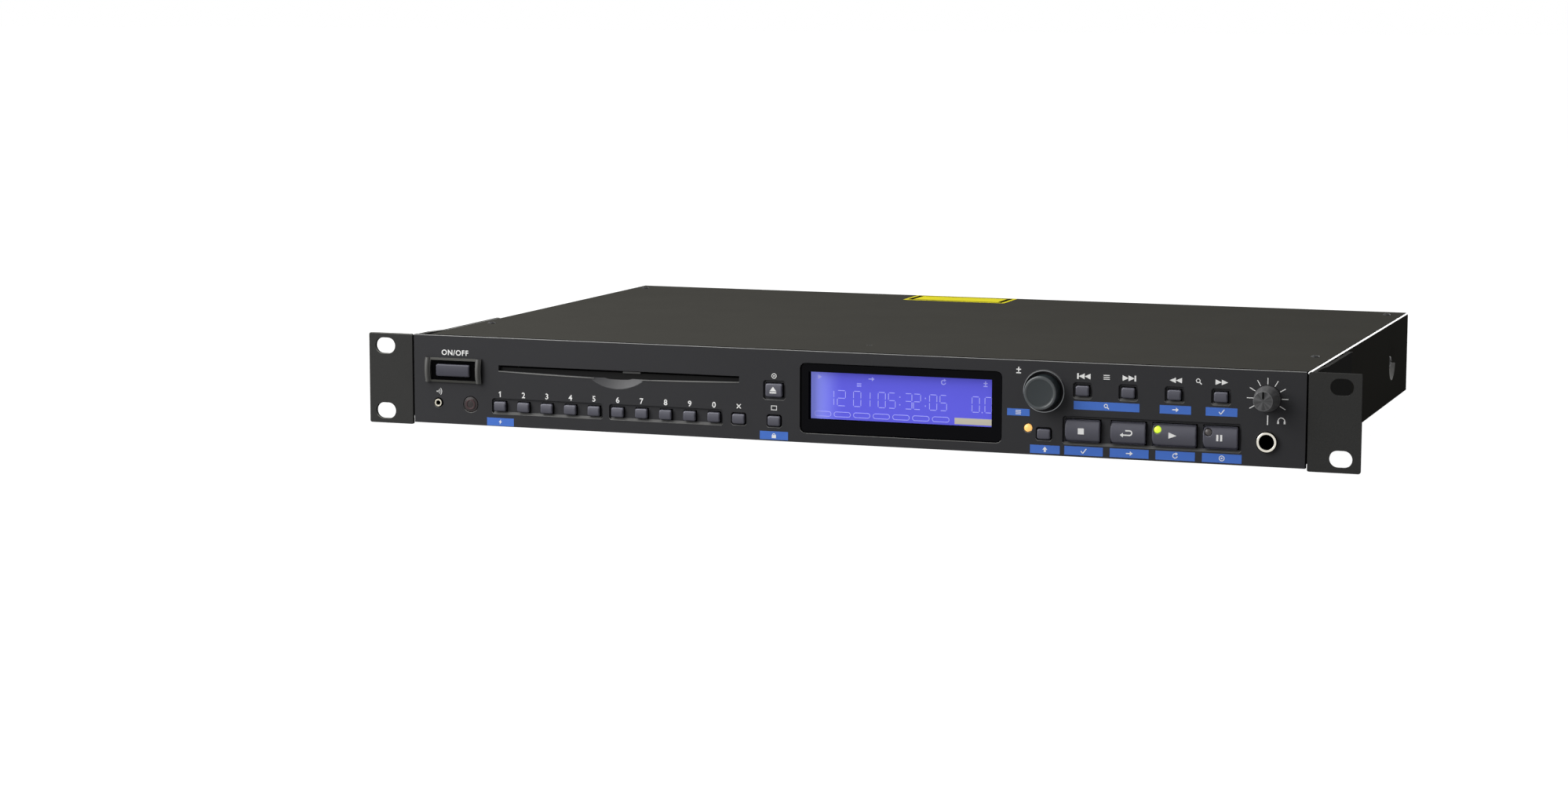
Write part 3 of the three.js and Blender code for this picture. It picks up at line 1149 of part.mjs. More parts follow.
// Power supply: a transformer, two large capacitors and a finned heat sink on their own board
function powerSupply() {
  const top = BOARD_THICKNESS;
  const plate = slab(0, 0, SUPPLY_WIDTH, supplyDepth, 0, top);
  const [coreX, coreY] = [CORE_SHARES[0] * SUPPLY_WIDTH, CORE_SHARES[1] * supplyDepth];
  const core = slab(coreX, coreY, CORE_WIDTH, CORE_DEPTH, top / 2, top + CORE_HEIGHT);
  const coil = slab(coreX, coreY, CORE_WIDTH * COIL_WIDTH_SHARE, CORE_DEPTH * COIL_DEPTH_SHARE, top / 2,
    top + CORE_HEIGHT * COIL_HEIGHT_SHARE);
  const [sinkX, sinkY] = [SINK_SHARES[0] * SUPPLY_WIDTH, SINK_SHARES[1] * supplyDepth];
  const fins = Array.from({ length: FIN_COUNT }, (_, fin) =>
    slab(sinkX + (fin - (FIN_COUNT - 1) / 2) * FIN_PITCH, sinkY, FIN_THICKNESS, FIN_LENGTH, top / 2,
      top + FIN_HEIGHT));
  const finFoot = slab(sinkX, sinkY, FIN_COUNT * FIN_PITCH, FIN_LENGTH * SINK_FOOT_SHARE, top / 2,
    top + FIN_HEIGHT * SINK_WEB_SHARE);
  const caps = SUPPLY_CAP_SHARES.map(([xShare, yShare]) =>
    roundZ(xShare * SUPPLY_WIDTH, yShare * supplyDepth, SUPPLY_CAP_RADIUS, top / 2, top + SUPPLY_CAP_HEIGHT));
  return join([plate, core, coil, ...fins, finFoot, ...caps]);
}

// Mains inlet: a flanged socket with a cut-cornered cavity and three blades
function mainsInlet() {
  const back = CASE_DEPTH;
  const flange = block(0, 0, INLET_FLANGE_WIDTH, INLET_FLANGE_HEIGHT, back + FIT_GAP,
    back + FIT_GAP + INLET_FLANGE_THICKNESS);
  const body = block(0, 0, INLET_BODY_WIDTH, INLET_BODY_HEIGHT, back - INLET_BODY_DEPTH, back + FIT_GAP);
  const mouth = back + FIT_GAP + INLET_FLANGE_THICKNESS;
  const u = INLET_CAVITY_WIDTH / 2;
  const v = INLET_CAVITY_HEIGHT / 2;
  const c = INLET_CAVITY_CUT;
  const outline = [[-u, -v], [u, -v], [u, v - c], [u - c, v], [c - u, v], [-u, v - c]];
  const floor = mouth - INLET_CAVITY_DEPTH;
  const cavity = prismY(outline, floor, mouth + OVERRUN);
  const low = -INLET_PIN_RISE;
  const blades = [[-INLET_PIN_SPREAD, low], [0, INLET_PIN_RISE], [INLET_PIN_SPREAD, low]]
    .map(([x, z]) => block(x, z, INLET_PIN_WIDTH, INLET_PIN_HEIGHT, floor - SHEET, floor + INLET_PIN_LENGTH));
  return join([flange.add(body).subtract(cavity), ...blades]);
}

// Balanced output: a flanged round socket with three pins
function balancedOutput() {
  const back = CASE_DEPTH + FIT_GAP;
  const mouth = back + BALANCED_FLANGE_THICKNESS;
  const floor = mouth - BALANCED_BORE_DEPTH;
  const flange = prismY(roundedPoints(0, 0, BALANCED_FLANGE_WIDTH, BALANCED_FLANGE_HEIGHT,
    BALANCED_FLANGE_CORNER), back, mouth);
  const body = roundY(0, 0, BALANCED_BODY_RADIUS, back - BALANCED_BODY_DEPTH, back + SHEET, ROUND_SIDES);
  const bore = roundY(0, 0, BALANCED_BORE_RADIUS, floor, mouth + OVERRUN, ROUND_SIDES);
  const pins = Array.from({ length: BALANCED_PIN_COUNT }, (_, pin) => {
    const angle = (pin / BALANCED_PIN_COUNT + 1 / 4) * 2 * Math.PI + Math.PI;
    return roundY(BALANCED_PIN_CIRCLE * Math.cos(angle), BALANCED_PIN_CIRCLE * Math.sin(angle),
      BALANCED_PIN_RADIUS, floor - SHEET, floor + BALANCED_PIN_LENGTH, SMALL_SIDES / 2);
  });
  return join([flange.add(body).subtract(bore), ...pins]);
}

// Phono jacks: three sleeves on one body behind the rear panel
function phonoJacks() {
  const front = CASE_DEPTH - SHEET - FIT_GAP;
  const mouth = CASE_DEPTH + PHONO_REACH;
  const body = block(0, 0, PHONO_COUNT * PHONO_PITCH, PHONO_BODY_HEIGHT, front - PHONO_BODY_DEPTH, front);
  const places = phonoPlaces().map((x) => x - phonoX);
  const sleeves = places.map((x) => roundY(x, 0, PHONO_OUTER_RADIUS, front - SHEET, mouth, SMALL_SIDES));
  const bores = places.map((x) => roundY(x, 0, PHONO_BORE_RADIUS, mouth - PHONO_BORE_DEPTH, mouth + OVERRUN,
    SMALL_SIDES));
  return cut(join([body, ...sleeves]), bores);
}

// Control socket: a slant-sided shell on a flange, with a threaded post at each end
function controlSocket() {
  const back = CASE_DEPTH + FIT_GAP;
  const flangeBack = back + SHEET;
  const u = SOCKET_SHELL_WIDTH / 2;
  const v = SOCKET_SHELL_HEIGHT / 2;
  const s = SOCKET_SHELL_SLANT;
  const shell = prismY([[s - u, -v], [u - s, -v], [u, v], [-u, v]], CASE_DEPTH - SOCKET_BODY_DEPTH,
    back + SOCKET_SHELL_REACH);
  const flange = prismY(roundedPoints(0, 0, SOCKET_FLANGE_WIDTH, SOCKET_FLANGE_HEIGHT, SOCKET_POST_RADIUS),
    back, flangeBack);
  const posts = [-1, 1].map((side) => roundY(side * SOCKET_POST_SPREAD / 2, 0, SOCKET_POST_RADIUS,
    back + SHEET / 2, flangeBack + SOCKET_POST_REACH, SOCKET_POST_SIDES));
  return join([shell, flange, ...posts]);
}

// Loader pieces stand round the spindle, with Z from the casing's floor
const frameHalf = FRAME_WIDTH / 2;
const frameFloorTop = FRAME_FLOOR + FRAME_SHEET;
const clampFloor = DISC_PLANE + FIT_GAP;
const clampTop = clampFloor + CLAMP_HEIGHT;
const armFloor = clampTop + FIT_GAP;
const armTop = armFloor + ARM_THICKNESS;
const hingeZ = armFloor + ARM_THICKNESS / 2;
const rollerZ = DISC_PLANE - FIT_GAP - ROLLER_END_RADIUS;
const cheekInner = ROLLER_LENGTH / 2 + CHEEK_GAP;
const cheekOuter = cheekInner + CHEEK_THICKNESS;
const gearPitchRadius = GEAR_MODULE * GEAR_TEETH / 2;
const rackPitch = GEAR_MODULE * Math.PI;
const sledHalf = SLED_WIDTH / 2;
const rodX = ROD_SPREAD / 2;
const wingOuter = rodX + SLED_WING_REACH;
const rackLine = wingOuter + RACK_GAP + RACK_DEPTH;
const gearX = rackLine + gearPitchRadius;
const gearFloor = frameFloorTop + GEAR_HUB_RISE + FIT_GAP;

// Loader frame: a pressed tray with side walls, feet, rod blocks, the arm's two posts and a gear pin
function loaderFrame() {
  const plate = box(-frameHalf, frameHalf, -FRAME_FRONT, FRAME_REAR, FRAME_FLOOR, frameFloorTop);
  const walls = [-1, 1].map((side) => {
    const outer = side * frameHalf;
    const inner = side * (frameHalf - FRAME_SHEET);
    return box(Math.min(outer, inner), Math.max(outer, inner), -FRAME_FRONT, FRAME_REAR,
      FRAME_FLOOR, FRAME_TOP);
  });
  const middleY = (FRAME_REAR - FRAME_FRONT) / 2;
  const feet = cornerPlaces(0, middleY, FRAME_WIDTH, FRAME_FRONT + FRAME_REAR, FRAME_FOOT_INSET).map(([x, y]) =>
    roundZ(x, y, FRAME_FOOT_RADIUS, FIT_GAP, FRAME_FLOOR + FRAME_SHEET / 2));
  const rodBlocks = [-rodX, rodX].flatMap((x) => [ROD_FRONT_Y, ROD_REAR_Y].map((y) =>
    slab(x, y, ROD_BLOCK_WIDTH, ROD_BLOCK_DEPTH, FRAME_FLOOR + FRAME_SHEET / 2, ROD_Z + 2 * ROD_RADIUS)));
  const rods = [-rodX, rodX].map((x) => roundY(x, ROD_Z, ROD_RADIUS, ROD_FRONT_Y, ROD_REAR_Y));
  const posts = [-1, 1].map((side) => {
    const inner = side * (ARM_ROOT_WIDTH / 2 + FIT_GAP);
    const outer = inner + side * POST_THICKNESS;
    return box(Math.min(outer, inner), Math.max(outer, inner), ARM_HINGE_Y - POST_DEPTH / 2,
      ARM_HINGE_Y + POST_DEPTH / 2, FRAME_FLOOR + FRAME_SHEET / 2, hingeZ + POST_HEAD);
  });
  const pinHole = roundX(ARM_HINGE_Y, hingeZ, ARM_PIN_RADIUS + FIT_GAP, -frameHalf / 2, frameHalf / 2);
  const gearSeat = roundZ(gearX, GEAR_Y, GEAR_SEAT_RADIUS, FRAME_FLOOR + FRAME_SHEET / 2,
    frameFloorTop + GEAR_HUB_RISE);
  const gearPin = roundZ(gearX, GEAR_Y, GEAR_PIN_RADIUS, FRAME_FLOOR + FRAME_SHEET / 2,
    gearFloor + GEAR_THICKNESS + GEAR_HUB_RISE + SHEET);
  const window = box(-sledHalf - FRAME_SHEET, sledHalf + FRAME_SHEET, MOTOR_RADIUS + FRAME_SHEET,
    ROD_REAR_Y - ROD_BLOCK_DEPTH / 2, FRAME_FLOOR - OVERRUN, frameFloorTop + OVERRUN);
  const spindleHole = roundZ(0, 0, MOTOR_BOSS_RADIUS + FIT_GAP, FRAME_FLOOR - OVERRUN, frameFloorTop + OVERRUN,
    ROUND_SIDES);
  const pivotHole = roundX(ROLLER_PIVOT_Y, ROLLER_PIVOT_Z, ROLLER_PIN_RADIUS + FIT_GAP, -frameHalf - OVERRUN,
    frameHalf + OVERRUN);
  const tray = cut(join([plate, ...walls, ...feet]), [window, spindleHole, pivotHole]);
  return join([tray, ...rodBlocks, ...rods, ...posts.map((post) => post.subtract(pinHole)), gearSeat, gearPin]);
}

// Spindle motor: a flat can under the frame with a boss through it and a bore for the spindle
function spindleMotor() {
  const top = FRAME_FLOOR - FIT_GAP;
  const bossTop = frameFloorTop + MOTOR_BOSS_RISE;
  const bore = SPINDLE_RADIUS + FIT_GAP;
  return latheZ([[0, MOTOR_FLOOR], [MOTOR_RADIUS - SHEET, MOTOR_FLOOR], [MOTOR_RADIUS, MOTOR_FLOOR + SHEET],
    [MOTOR_RADIUS, top], [MOTOR_BOSS_RADIUS, top], [MOTOR_BOSS_RADIUS, bossTop], [bore, bossTop],
    [bore, bossTop - SPINDLE_LENGTH], [0, bossTop - SPINDLE_LENGTH]], ROUND_SIDES);
}

// Turntable: its spindle, hub, rubber-faced platter and centring cone
function turntable() {
  const bossTop = frameFloorTop + MOTOR_BOSS_RISE;
  const spindleEnd = bossTop - SPINDLE_LENGTH + FIT_GAP;
  const hubFloor = bossTop + FIT_GAP;
  return latheZ([[0, spindleEnd], [SPINDLE_RADIUS, spindleEnd], [SPINDLE_RADIUS, hubFloor],
    [TABLE_HUB_RADIUS, hubFloor], [TABLE_HUB_RADIUS, DISC_PLANE - TABLE_RIM - SHEET],
    [TABLE_RADIUS, DISC_PLANE - TABLE_RIM + SHEET], [TABLE_RADIUS, DISC_PLANE], [CONE_RADIUS, DISC_PLANE],
    [CONE_TIP_RADIUS, DISC_PLANE + CONE_HEIGHT], [0, DISC_PLANE + CONE_HEIGHT]], ROUND_SIDES);
}

// Disc clamp: a puck with a pocket for the cone, hung in the arm by its head
function discClamp() {
  const pocketTop = DISC_PLANE + CONE_HEIGHT + FIT_GAP;
  const headFloor = armTop + FIT_GAP;
  return latheZ([[0, pocketTop], [CLAMP_POCKET_RADIUS, pocketTop], [CLAMP_POCKET_RADIUS, clampFloor],
    [CLAMP_RADIUS, clampFloor], [CLAMP_RADIUS, clampTop - SHEET], [CLAMP_RADIUS - SHEET, clampTop],
    [CLAMP_NECK_RADIUS, clampTop], [CLAMP_NECK_RADIUS, headFloor], [CLAMP_HEAD_RADIUS, headFloor],
    [CLAMP_HEAD_RADIUS, headFloor + CLAMP_HEAD_HEIGHT], [0, headFloor + CLAMP_HEAD_HEIGHT]], ROUND_SIDES);
}

// Clamp arm: a plate from the hinge barrel to a round tip, waisted between them
function clampArm() {
  const waist = ARM_WAIST_WIDTH / 2;
  const root = ARM_ROOT_WIDTH / 2;
  const shoulderY = ARM_HINGE_Y - ARM_ROOT_WIDTH / 2;
  const outline = [
    [-waist, 0], [waist, 0], [waist, shoulderY - waist], [root, shoulderY], [root, ARM_HINGE_Y],
    [-root, ARM_HINGE_Y], [-root, shoulderY], [-waist, shoulderY - waist],
  ];
  const plate = prismZ(outline, armFloor, armTop);
  const tip = roundZ(0, 0, ARM_TIP_RADIUS, armFloor, armTop, ROUND_SIDES);
  const barrel = roundX(ARM_HINGE_Y, hingeZ, ARM_BARREL_RADIUS, -root, root);
  const pins = roundX(ARM_HINGE_Y, hingeZ, ARM_PIN_RADIUS, -root - ARM_PIN_REACH, root + ARM_PIN_REACH);
  const hole = roundZ(0, 0, CLAMP_NECK_RADIUS + 2 * FIT_GAP, armFloor - OVERRUN, armTop + OVERRUN, ROUND_SIDES);
  return join([plate, tip, barrel, pins]).subtract(hole);
}

// Roller arm: two cheeks on pivot pins, joined by a bar behind the roller
function rollerArm() {
  const outline = [
    [ROLLER_Y - CHEEK_TIP, rollerZ - CHEEK_TIP / 2], [ROLLER_Y, rollerZ - CHEEK_TIP],
    [ROLLER_PIVOT_Y - CHEEK_ROOT_RADIUS, ROLLER_PIVOT_Z - CHEEK_ROOT_RADIUS],
    [ROLLER_PIVOT_Y + CHEEK_ROOT_RADIUS, ROLLER_PIVOT_Z - CHEEK_ROOT_RADIUS],
    [ROLLER_PIVOT_Y + CHEEK_ROOT_RADIUS, ROLLER_PIVOT_Z + CHEEK_ROOT_RADIUS],
    [ROLLER_Y, rollerZ + CHEEK_TIP * CHEEK_CREST_SHARE], [ROLLER_Y - CHEEK_TIP, rollerZ + CHEEK_TIP / 2],
  ];
  const cheeks = [prismX(outline, cheekInner, cheekOuter), prismX(outline, -cheekOuter, -cheekInner)];
  const pinEnd = frameHalf - FIT_GAP;
  const pins = [
    roundX(ROLLER_PIVOT_Y, ROLLER_PIVOT_Z, ROLLER_PIN_RADIUS, cheekOuter - SHEET, pinEnd),
    roundX(ROLLER_PIVOT_Y, ROLLER_PIVOT_Z, ROLLER_PIN_RADIUS, -pinEnd, SHEET - cheekOuter),
  ];
  const barFront = ROLLER_Y + ROLLER_END_RADIUS + CROSS_BAR_GAP;
  const barTop = rollerZ;
  const bar = box(-cheekOuter, cheekOuter, barFront, barFront + CROSS_BAR_DEPTH,
    barTop - CROSS_BAR_HEIGHT, barTop);
  const holes = roundX(ROLLER_Y, rollerZ, ROLLER_SHAFT_RADIUS + FIT_GAP, -cheekOuter - OVERRUN,
    cheekOuter + OVERRUN);
  return join([...cheeks, ...pins, bar]).subtract(holes);
}

// Feed roller: a rubber roller waisted at its middle, on a shaft through both cheeks
function feedRoller() {
  const half = ROLLER_LENGTH / 2;
  const shaftHalf = cheekOuter + SHEET;
  return latheX([[0, -shaftHalf], [ROLLER_SHAFT_RADIUS, -shaftHalf], [ROLLER_SHAFT_RADIUS, -half],
    [ROLLER_END_RADIUS, -half], [ROLLER_WAIST_RADIUS, 0], [ROLLER_END_RADIUS, half],
    [ROLLER_SHAFT_RADIUS, half], [ROLLER_SHAFT_RADIUS, shaftHalf], [0, shaftHalf]], SMALL_SIDES);
}

// Disc guide: a plate over the frame's front with a bowed rear edge and a rib down each side
function discGuide() {
  const floor = FRAME_TOP + FIT_GAP;
  const top = floor + GUIDE_THICKNESS;
  const front = SHEET - FRAME_FRONT;
  const rear = front + GUIDE_DEPTH;
  const points = [[-frameHalf, rear], [-frameHalf, front], [frameHalf, front], [frameHalf, rear]];
  for (let step = 1; step < GUIDE_STEPS; step += 1) {
    const share = 1 - 2 * step / GUIDE_STEPS;
    points.push([share * frameHalf, rear - GUIDE_BOW * (1 - share ** 2)]);
  }
  const plate = prismZ(points, floor, top);
  const ribX = frameHalf - GUIDE_RIB_INSET;
  const ribs = [-ribX, ribX].map((x) => slab(x, (front + rear) / 2, GUIDE_RIB_THICKNESS, GUIDE_DEPTH - 2 * SHEET,
    DISC_PLANE + 2 * DISC_THICKNESS, floor + SHEET / 2));
  return join([plate, ...ribs]);
}

// Pickup sled: a carriage on two rods with the lens on top and a toothed rack along one side
function pickupSled() {
  const front = SLED_REST_Y;
  const back = SLED_REST_Y + SLED_LENGTH;
  const belly = box(-sledHalf, sledHalf, front, back, SLED_FLOOR, SLED_TOP);
  const wings = box(-wingOuter, wingOuter, front, back,
    ROD_Z - SLED_WING_HEIGHT / 2, ROD_Z + SLED_WING_HEIGHT / 2);
  const bores = [-rodX, rodX].map((x) =>
    roundY(x, ROD_Z, ROD_RADIUS + FIT_GAP, front - OVERRUN, back + OVERRUN));
  const lensY = front + LENS_SET_BACK;
  const housing = slab(0, lensY, LENS_HOUSING, LENS_HOUSING, SLED_TOP - SHEET, SLED_TOP + LENS_HOUSING_HEIGHT);
  const lens = roundZ(0, lensY, LENS_RADIUS, SLED_TOP, SLED_TOP + LENS_HOUSING_HEIGHT + LENS_HEIGHT);
  const carriage = cut(join([belly, wings]), bores);
  return join([carriage, housing, lens, rackSolid(back)]);
}

// Half the thickness of a tooth at a height above the pitch line, for straight rack teeth
const rackHalfTooth = (height) => rackPitch / 4 - GEAR_BACKLASH / 4 - height * Math.tan(PRESSURE_ANGLE);

// Rack: straight teeth centred on the gear's height, reaching past it at both ends of the travel
function rackSolid(back) {
  const first = -Math.ceil(SLED_TRAVEL / rackPitch) - RACK_MARGIN_TEETH;
  const last = RACK_MARGIN_TEETH;
  const root = rackLine - GEAR_MODULE * GEAR_ROOT_SHARE;
  const tip = rackLine + GEAR_MODULE;
  const rackBack = rackLine - RACK_DEPTH;
  const low = GEAR_Y + (first - 0.5) * rackPitch;
  const high = Math.max(GEAR_Y + (last + 0.5) * rackPitch, back);
  const points = [[rackBack, high], [rackBack, low], [root, low]];
  for (let tooth = first; tooth <= last; tooth += 1) {
    const y = GEAR_Y + tooth * rackPitch;
    const rootHalf = rackHalfTooth(root - rackLine);
    const tipHalf = rackHalfTooth(GEAR_MODULE);
    points.push([root, y - rootHalf], [tip, y - tipHalf], [tip, y + tipHalf], [root, y + rootHalf]);
  }
  points.push([root, high]);
  const teeth = prismZ(points, gearFloor, gearFloor + GEAR_THICKNESS);
  const bridge = box(rodX + ROD_RADIUS + 2 * FIT_GAP, rackBack + SHEET / 2, back - SLED_LENGTH, back, gearFloor,
    gearFloor + GEAR_THICKNESS);
  return teeth.add(bridge);
}

// Sled gear: an involute wheel on a hub, with a gap that takes the rack's middle tooth
function sledGear() {
  const outer = gearPitchRadius + GEAR_MODULE;
  const root = gearPitchRadius - GEAR_MODULE * GEAR_ROOT_SHARE;
  const baseRadius = gearPitchRadius * Math.cos(PRESSURE_ANGLE);
  const roll = (radius) => {
    const angle = Math.acos(Math.min(1, baseRadius / radius));
    return Math.tan(angle) - angle;
  };
  const halfAtPitch = (rackPitch / 2 - GEAR_BACKLASH / 2) / 2 / gearPitchRadius;
  const points = [];
  for (let tooth = 0; tooth < GEAR_TEETH; tooth += 1) {
    const middle = (tooth + 0.5) / GEAR_TEETH * 2 * Math.PI;
    const flank = Array.from({ length: FLANK_STEPS + 1 }, (_, step) => {
      const radius = baseRadius + (outer - baseRadius) * step / FLANK_STEPS;
      return [radius, halfAtPitch + roll(gearPitchRadius) - roll(radius)];
    });
    flank.unshift([root, flank[0][1]]);
    for (const [radius, half] of flank) {
      points.push([radius * Math.cos(middle - half), radius * Math.sin(middle - half)]);
    }
    for (const [radius, half] of flank.reverse()) {
      points.push([radius * Math.cos(middle + half), radius * Math.sin(middle + half)]);
    }
  }
  const wheel = prismZ(points, 0, GEAR_THICKNESS);
  const hub = roundZ(0, 0, GEAR_HUB_RADIUS, GEAR_THICKNESS / 2, GEAR_THICKNESS + GEAR_HUB_RISE);
  const bore = roundZ(0, 0, GEAR_PIN_RADIUS + FIT_GAP, -OVERRUN, GEAR_THICKNESS + GEAR_HUB_RISE + OVERRUN);
  return wheel.add(hub).subtract(bore);
}

const player = new THREE.Group();
const casing = new THREE.Group();
const panel = new THREE.Group();
const electronics = new THREE.Group();
const loader = new THREE.Group();
loader.position.set(slotX, SPINDLE_Y, floorTop);
player.add(casing, panel, electronics, loader);

addPiece(casing, 'base_pan', basePan(), zinc);
addPiece(casing, 'rear_panel', rearPanel(), paint);
addPiece(casing, 'top_cover', topCover(), coverPaint);
addPiece(casing, 'front_panel', frontPanel(), moulding);
addPiece(casing, 'left_rack_ear', rackEar(-1), paint);
addPiece(casing, 'right_rack_ear', rackEar(1), paint);

for (const key of keys) {
  addPiece(panel, key.name, keySolid(key), keyPlastic, [key.x, 0, key.z]);
}
addPiece(panel, 'power_key_bezel', powerBezel(), blackPlastic, [powerX, 0, POWER_Z]);
addPiece(panel, 'power_key', powerKey(), keyPlastic, [powerX, 0, POWER_Z]);
addPiece(panel, 'remote_jack', remoteJack(), nickel, [remoteX, 0, REMOTE_Z]);
addPiece(panel, 'sensor_window', sensorWindow(), sensorRed, [sensorX, 0, SENSOR_Z]);
addPiece(panel, 'display_window', displayWindow(), glass, [windowX, 0, WINDOW_Z]);
addPiece(panel, 'display_module', displayModule(), screenBlue, [windowX, 0, WINDOW_Z]);
addPiece(panel, 'shift_lamp', lampSolid(SHIFT_LAMP_RADIUS, -LAMP_PROUD), amber, [shiftLampX, 0, SHIFT_LAMP_Z]);
const lampFinishes = { play_key: ['play_lamp', lime], pause_key: ['pause_lamp', umber] };
for (const key of keys.filter(({ lamp }) => lamp)) {
  const [x, z] = lampPlace(key);
  const [name, material] = lampFinishes[key.name];
  addPiece(panel, name, lampSolid(LAMP_RADIUS, -key.proud), material, [key.x + x, 0, key.z + z]);
}
addPiece(panel, 'pitch_dial', pitchDial(), blackPlastic, [dialX, 0, DIAL_Z]);
addPiece(panel, 'dial_shaft', dialShaft(), steel, [dialX, 0, DIAL_Z]);
addPiece(panel, 'level_knob', levelKnob(), knobMetal, [levelX, 0, LEVEL_Z]);
addPiece(panel, 'headphone_jack', headphoneJack(), nickel, [phonesX, 0, PHONES_Z]);

addPiece(electronics, 'front_board', frontBoard(), boardGreen);
addPiece(electronics, 'main_board', mainBoard(), boardGreen, [mainX, mainY, boardSeat]);
addPiece(electronics, 'power_supply', powerSupply(), boardGreen, [supplyX, supplyY, boardSeat]);
addPiece(electronics, 'mains_inlet', mainsInlet(), blackPlastic, [inletX, 0, REAR_ROW_Z]);
balancedPlaces().forEach((x, jack) => {
  const name = ['balanced_output_right', 'balanced_output_left'][jack];
  addPiece(electronics, name, balancedOutput(), nickel, [x, 0, REAR_ROW_Z]);
});
addPiece(electronics, 'phono_jacks', phonoJacks(), nickel, [phonoX, 0, REAR_ROW_Z]);
addPiece(electronics, 'control_socket', controlSocket(), steel, [socketX, 0, REAR_ROW_Z]);

addPiece(loader, 'loader_frame', loaderFrame(), zinc);
addPiece(loader, 'disc_guide', discGuide(), blackPlastic);
addPiece(loader, 'spindle_motor', spindleMotor(), steel);
addPiece(loader, 'turntable', turntable(), rubber);
addPiece(loader, 'clamp_arm', clampArm(), zinc);
addPiece(loader, 'disc_clamp', discClamp(), whitePlastic);
addPiece(loader, 'roller_arm', rollerArm(), zinc);
addPiece(loader, 'feed_roller', feedRoller(), rubber, [0, ROLLER_Y, rollerZ]);
addPiece(loader, 'pickup_sled', pickupSled(), blackPlastic);
addPiece(loader, 'sled_gear', sledGear(), whitePlastic, [gearX, GEAR_Y, gearFloor]);

// Stand the finished player on the middle of its own footprint
const reach = new THREE.Box3().setFromObject(player, true);
const middle = reach.getCenter(new THREE.Vector3());
player.position.set(-middle.x, -middle.y, -reach.min.z);

export default player;
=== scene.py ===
"""A slot-loading disc player one rack unit high: its finishes, print, trim and studio.

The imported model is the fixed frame. Visible pieces are remade here with fine edges, and everything
else keeps its solid and gets a finish. Lengths in the classes are millimetres: X to the right, Y to
the back from the rack ears' front face, and Z up from the ground.
"""

from __future__ import annotations

import json
import logging
import math
from collections.abc import Callable, Iterator
from contextlib import contextmanager
from dataclasses import dataclass
from enum import Enum

import bpy
from mathutils import Matrix, Vector

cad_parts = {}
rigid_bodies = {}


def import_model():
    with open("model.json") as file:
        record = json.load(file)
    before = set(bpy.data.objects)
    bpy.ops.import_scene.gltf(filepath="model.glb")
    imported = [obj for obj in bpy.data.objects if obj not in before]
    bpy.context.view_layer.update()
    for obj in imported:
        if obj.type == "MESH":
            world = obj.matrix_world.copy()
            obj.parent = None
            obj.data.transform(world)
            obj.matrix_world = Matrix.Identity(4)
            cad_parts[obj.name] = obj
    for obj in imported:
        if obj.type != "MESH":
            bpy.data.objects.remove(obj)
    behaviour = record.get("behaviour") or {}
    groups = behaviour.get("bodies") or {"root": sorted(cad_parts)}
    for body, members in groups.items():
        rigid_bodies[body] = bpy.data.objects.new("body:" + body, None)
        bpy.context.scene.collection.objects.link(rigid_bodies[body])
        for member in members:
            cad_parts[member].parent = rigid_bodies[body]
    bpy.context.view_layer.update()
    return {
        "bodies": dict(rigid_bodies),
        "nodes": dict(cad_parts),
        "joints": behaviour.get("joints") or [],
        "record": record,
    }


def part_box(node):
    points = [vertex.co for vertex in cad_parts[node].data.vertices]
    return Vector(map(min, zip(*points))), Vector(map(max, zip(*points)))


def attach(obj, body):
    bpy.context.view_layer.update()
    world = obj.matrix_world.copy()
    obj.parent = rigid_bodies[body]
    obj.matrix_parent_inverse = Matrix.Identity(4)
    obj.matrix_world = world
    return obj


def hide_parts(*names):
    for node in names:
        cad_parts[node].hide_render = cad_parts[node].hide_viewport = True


log = logging.getLogger("disc_player")
MM = 0.001
CASING = "casing"
Piece = bpy.types.Object
Pair = tuple[float, float]
Triple = tuple[float, float, float]
Quad = tuple[float, float, float, float]
Points = tuple[Pair, ...]
Outline = list[Pair]
Test = Callable[[Vector, Vector], bool]


def linear(hex_colour: str) -> Quad:
    """Turns an sRGB hex colour into linear RGBA.

    Args:
        hex_colour: Six hex digits after a hash sign.

    Returns:
        The linear colour with an alpha of one.
    """
    parts = [int(hex_colour[at:at + 2], 16) / 255 for at in (1, 3, 5)]
    red, green, blue = (c / 12.92 if c <= 0.04045 else ((c + 0.055) / 1.055) ** 2.4 for c in parts)
    return red, green, blue, 1.0


def shifted(depths: Pair, by: float) -> Pair:
    """Moves a front and a back depth by the same length."""
    return depths[0] + by, depths[1] + by


def add_node(tree: bpy.types.NodeTree, kind: str, links: dict[str, object] | None = None,
             **settings: object) -> bpy.types.Node:
    """Adds a node with its settings and links.

    Args:
        tree: The node tree.
        kind: The node's type name, without its ShaderNode prefix.
        links: An output socket or a plain value for each named input.
        settings: Attributes of the node.

    Returns:
        The new node.
    """
    node = tree.nodes.new("ShaderNode" + kind)
    for name, value in settings.items():
        setattr(node, name, value)
    for name, value in (links or {}).items():
        socket = node.inputs[int(name)] if name.isdigit() else node.inputs[name]
        if isinstance(value, bpy.types.NodeSocket):
            tree.links.new(value, socket)
        else:
            socket.default_value = value
    return node


class Grain(Enum):
    """How a surface was finished, which sets the lay of the pattern on it."""

    EVEN = "even"
    TURNED = "turned"
    SPUN = "spun"


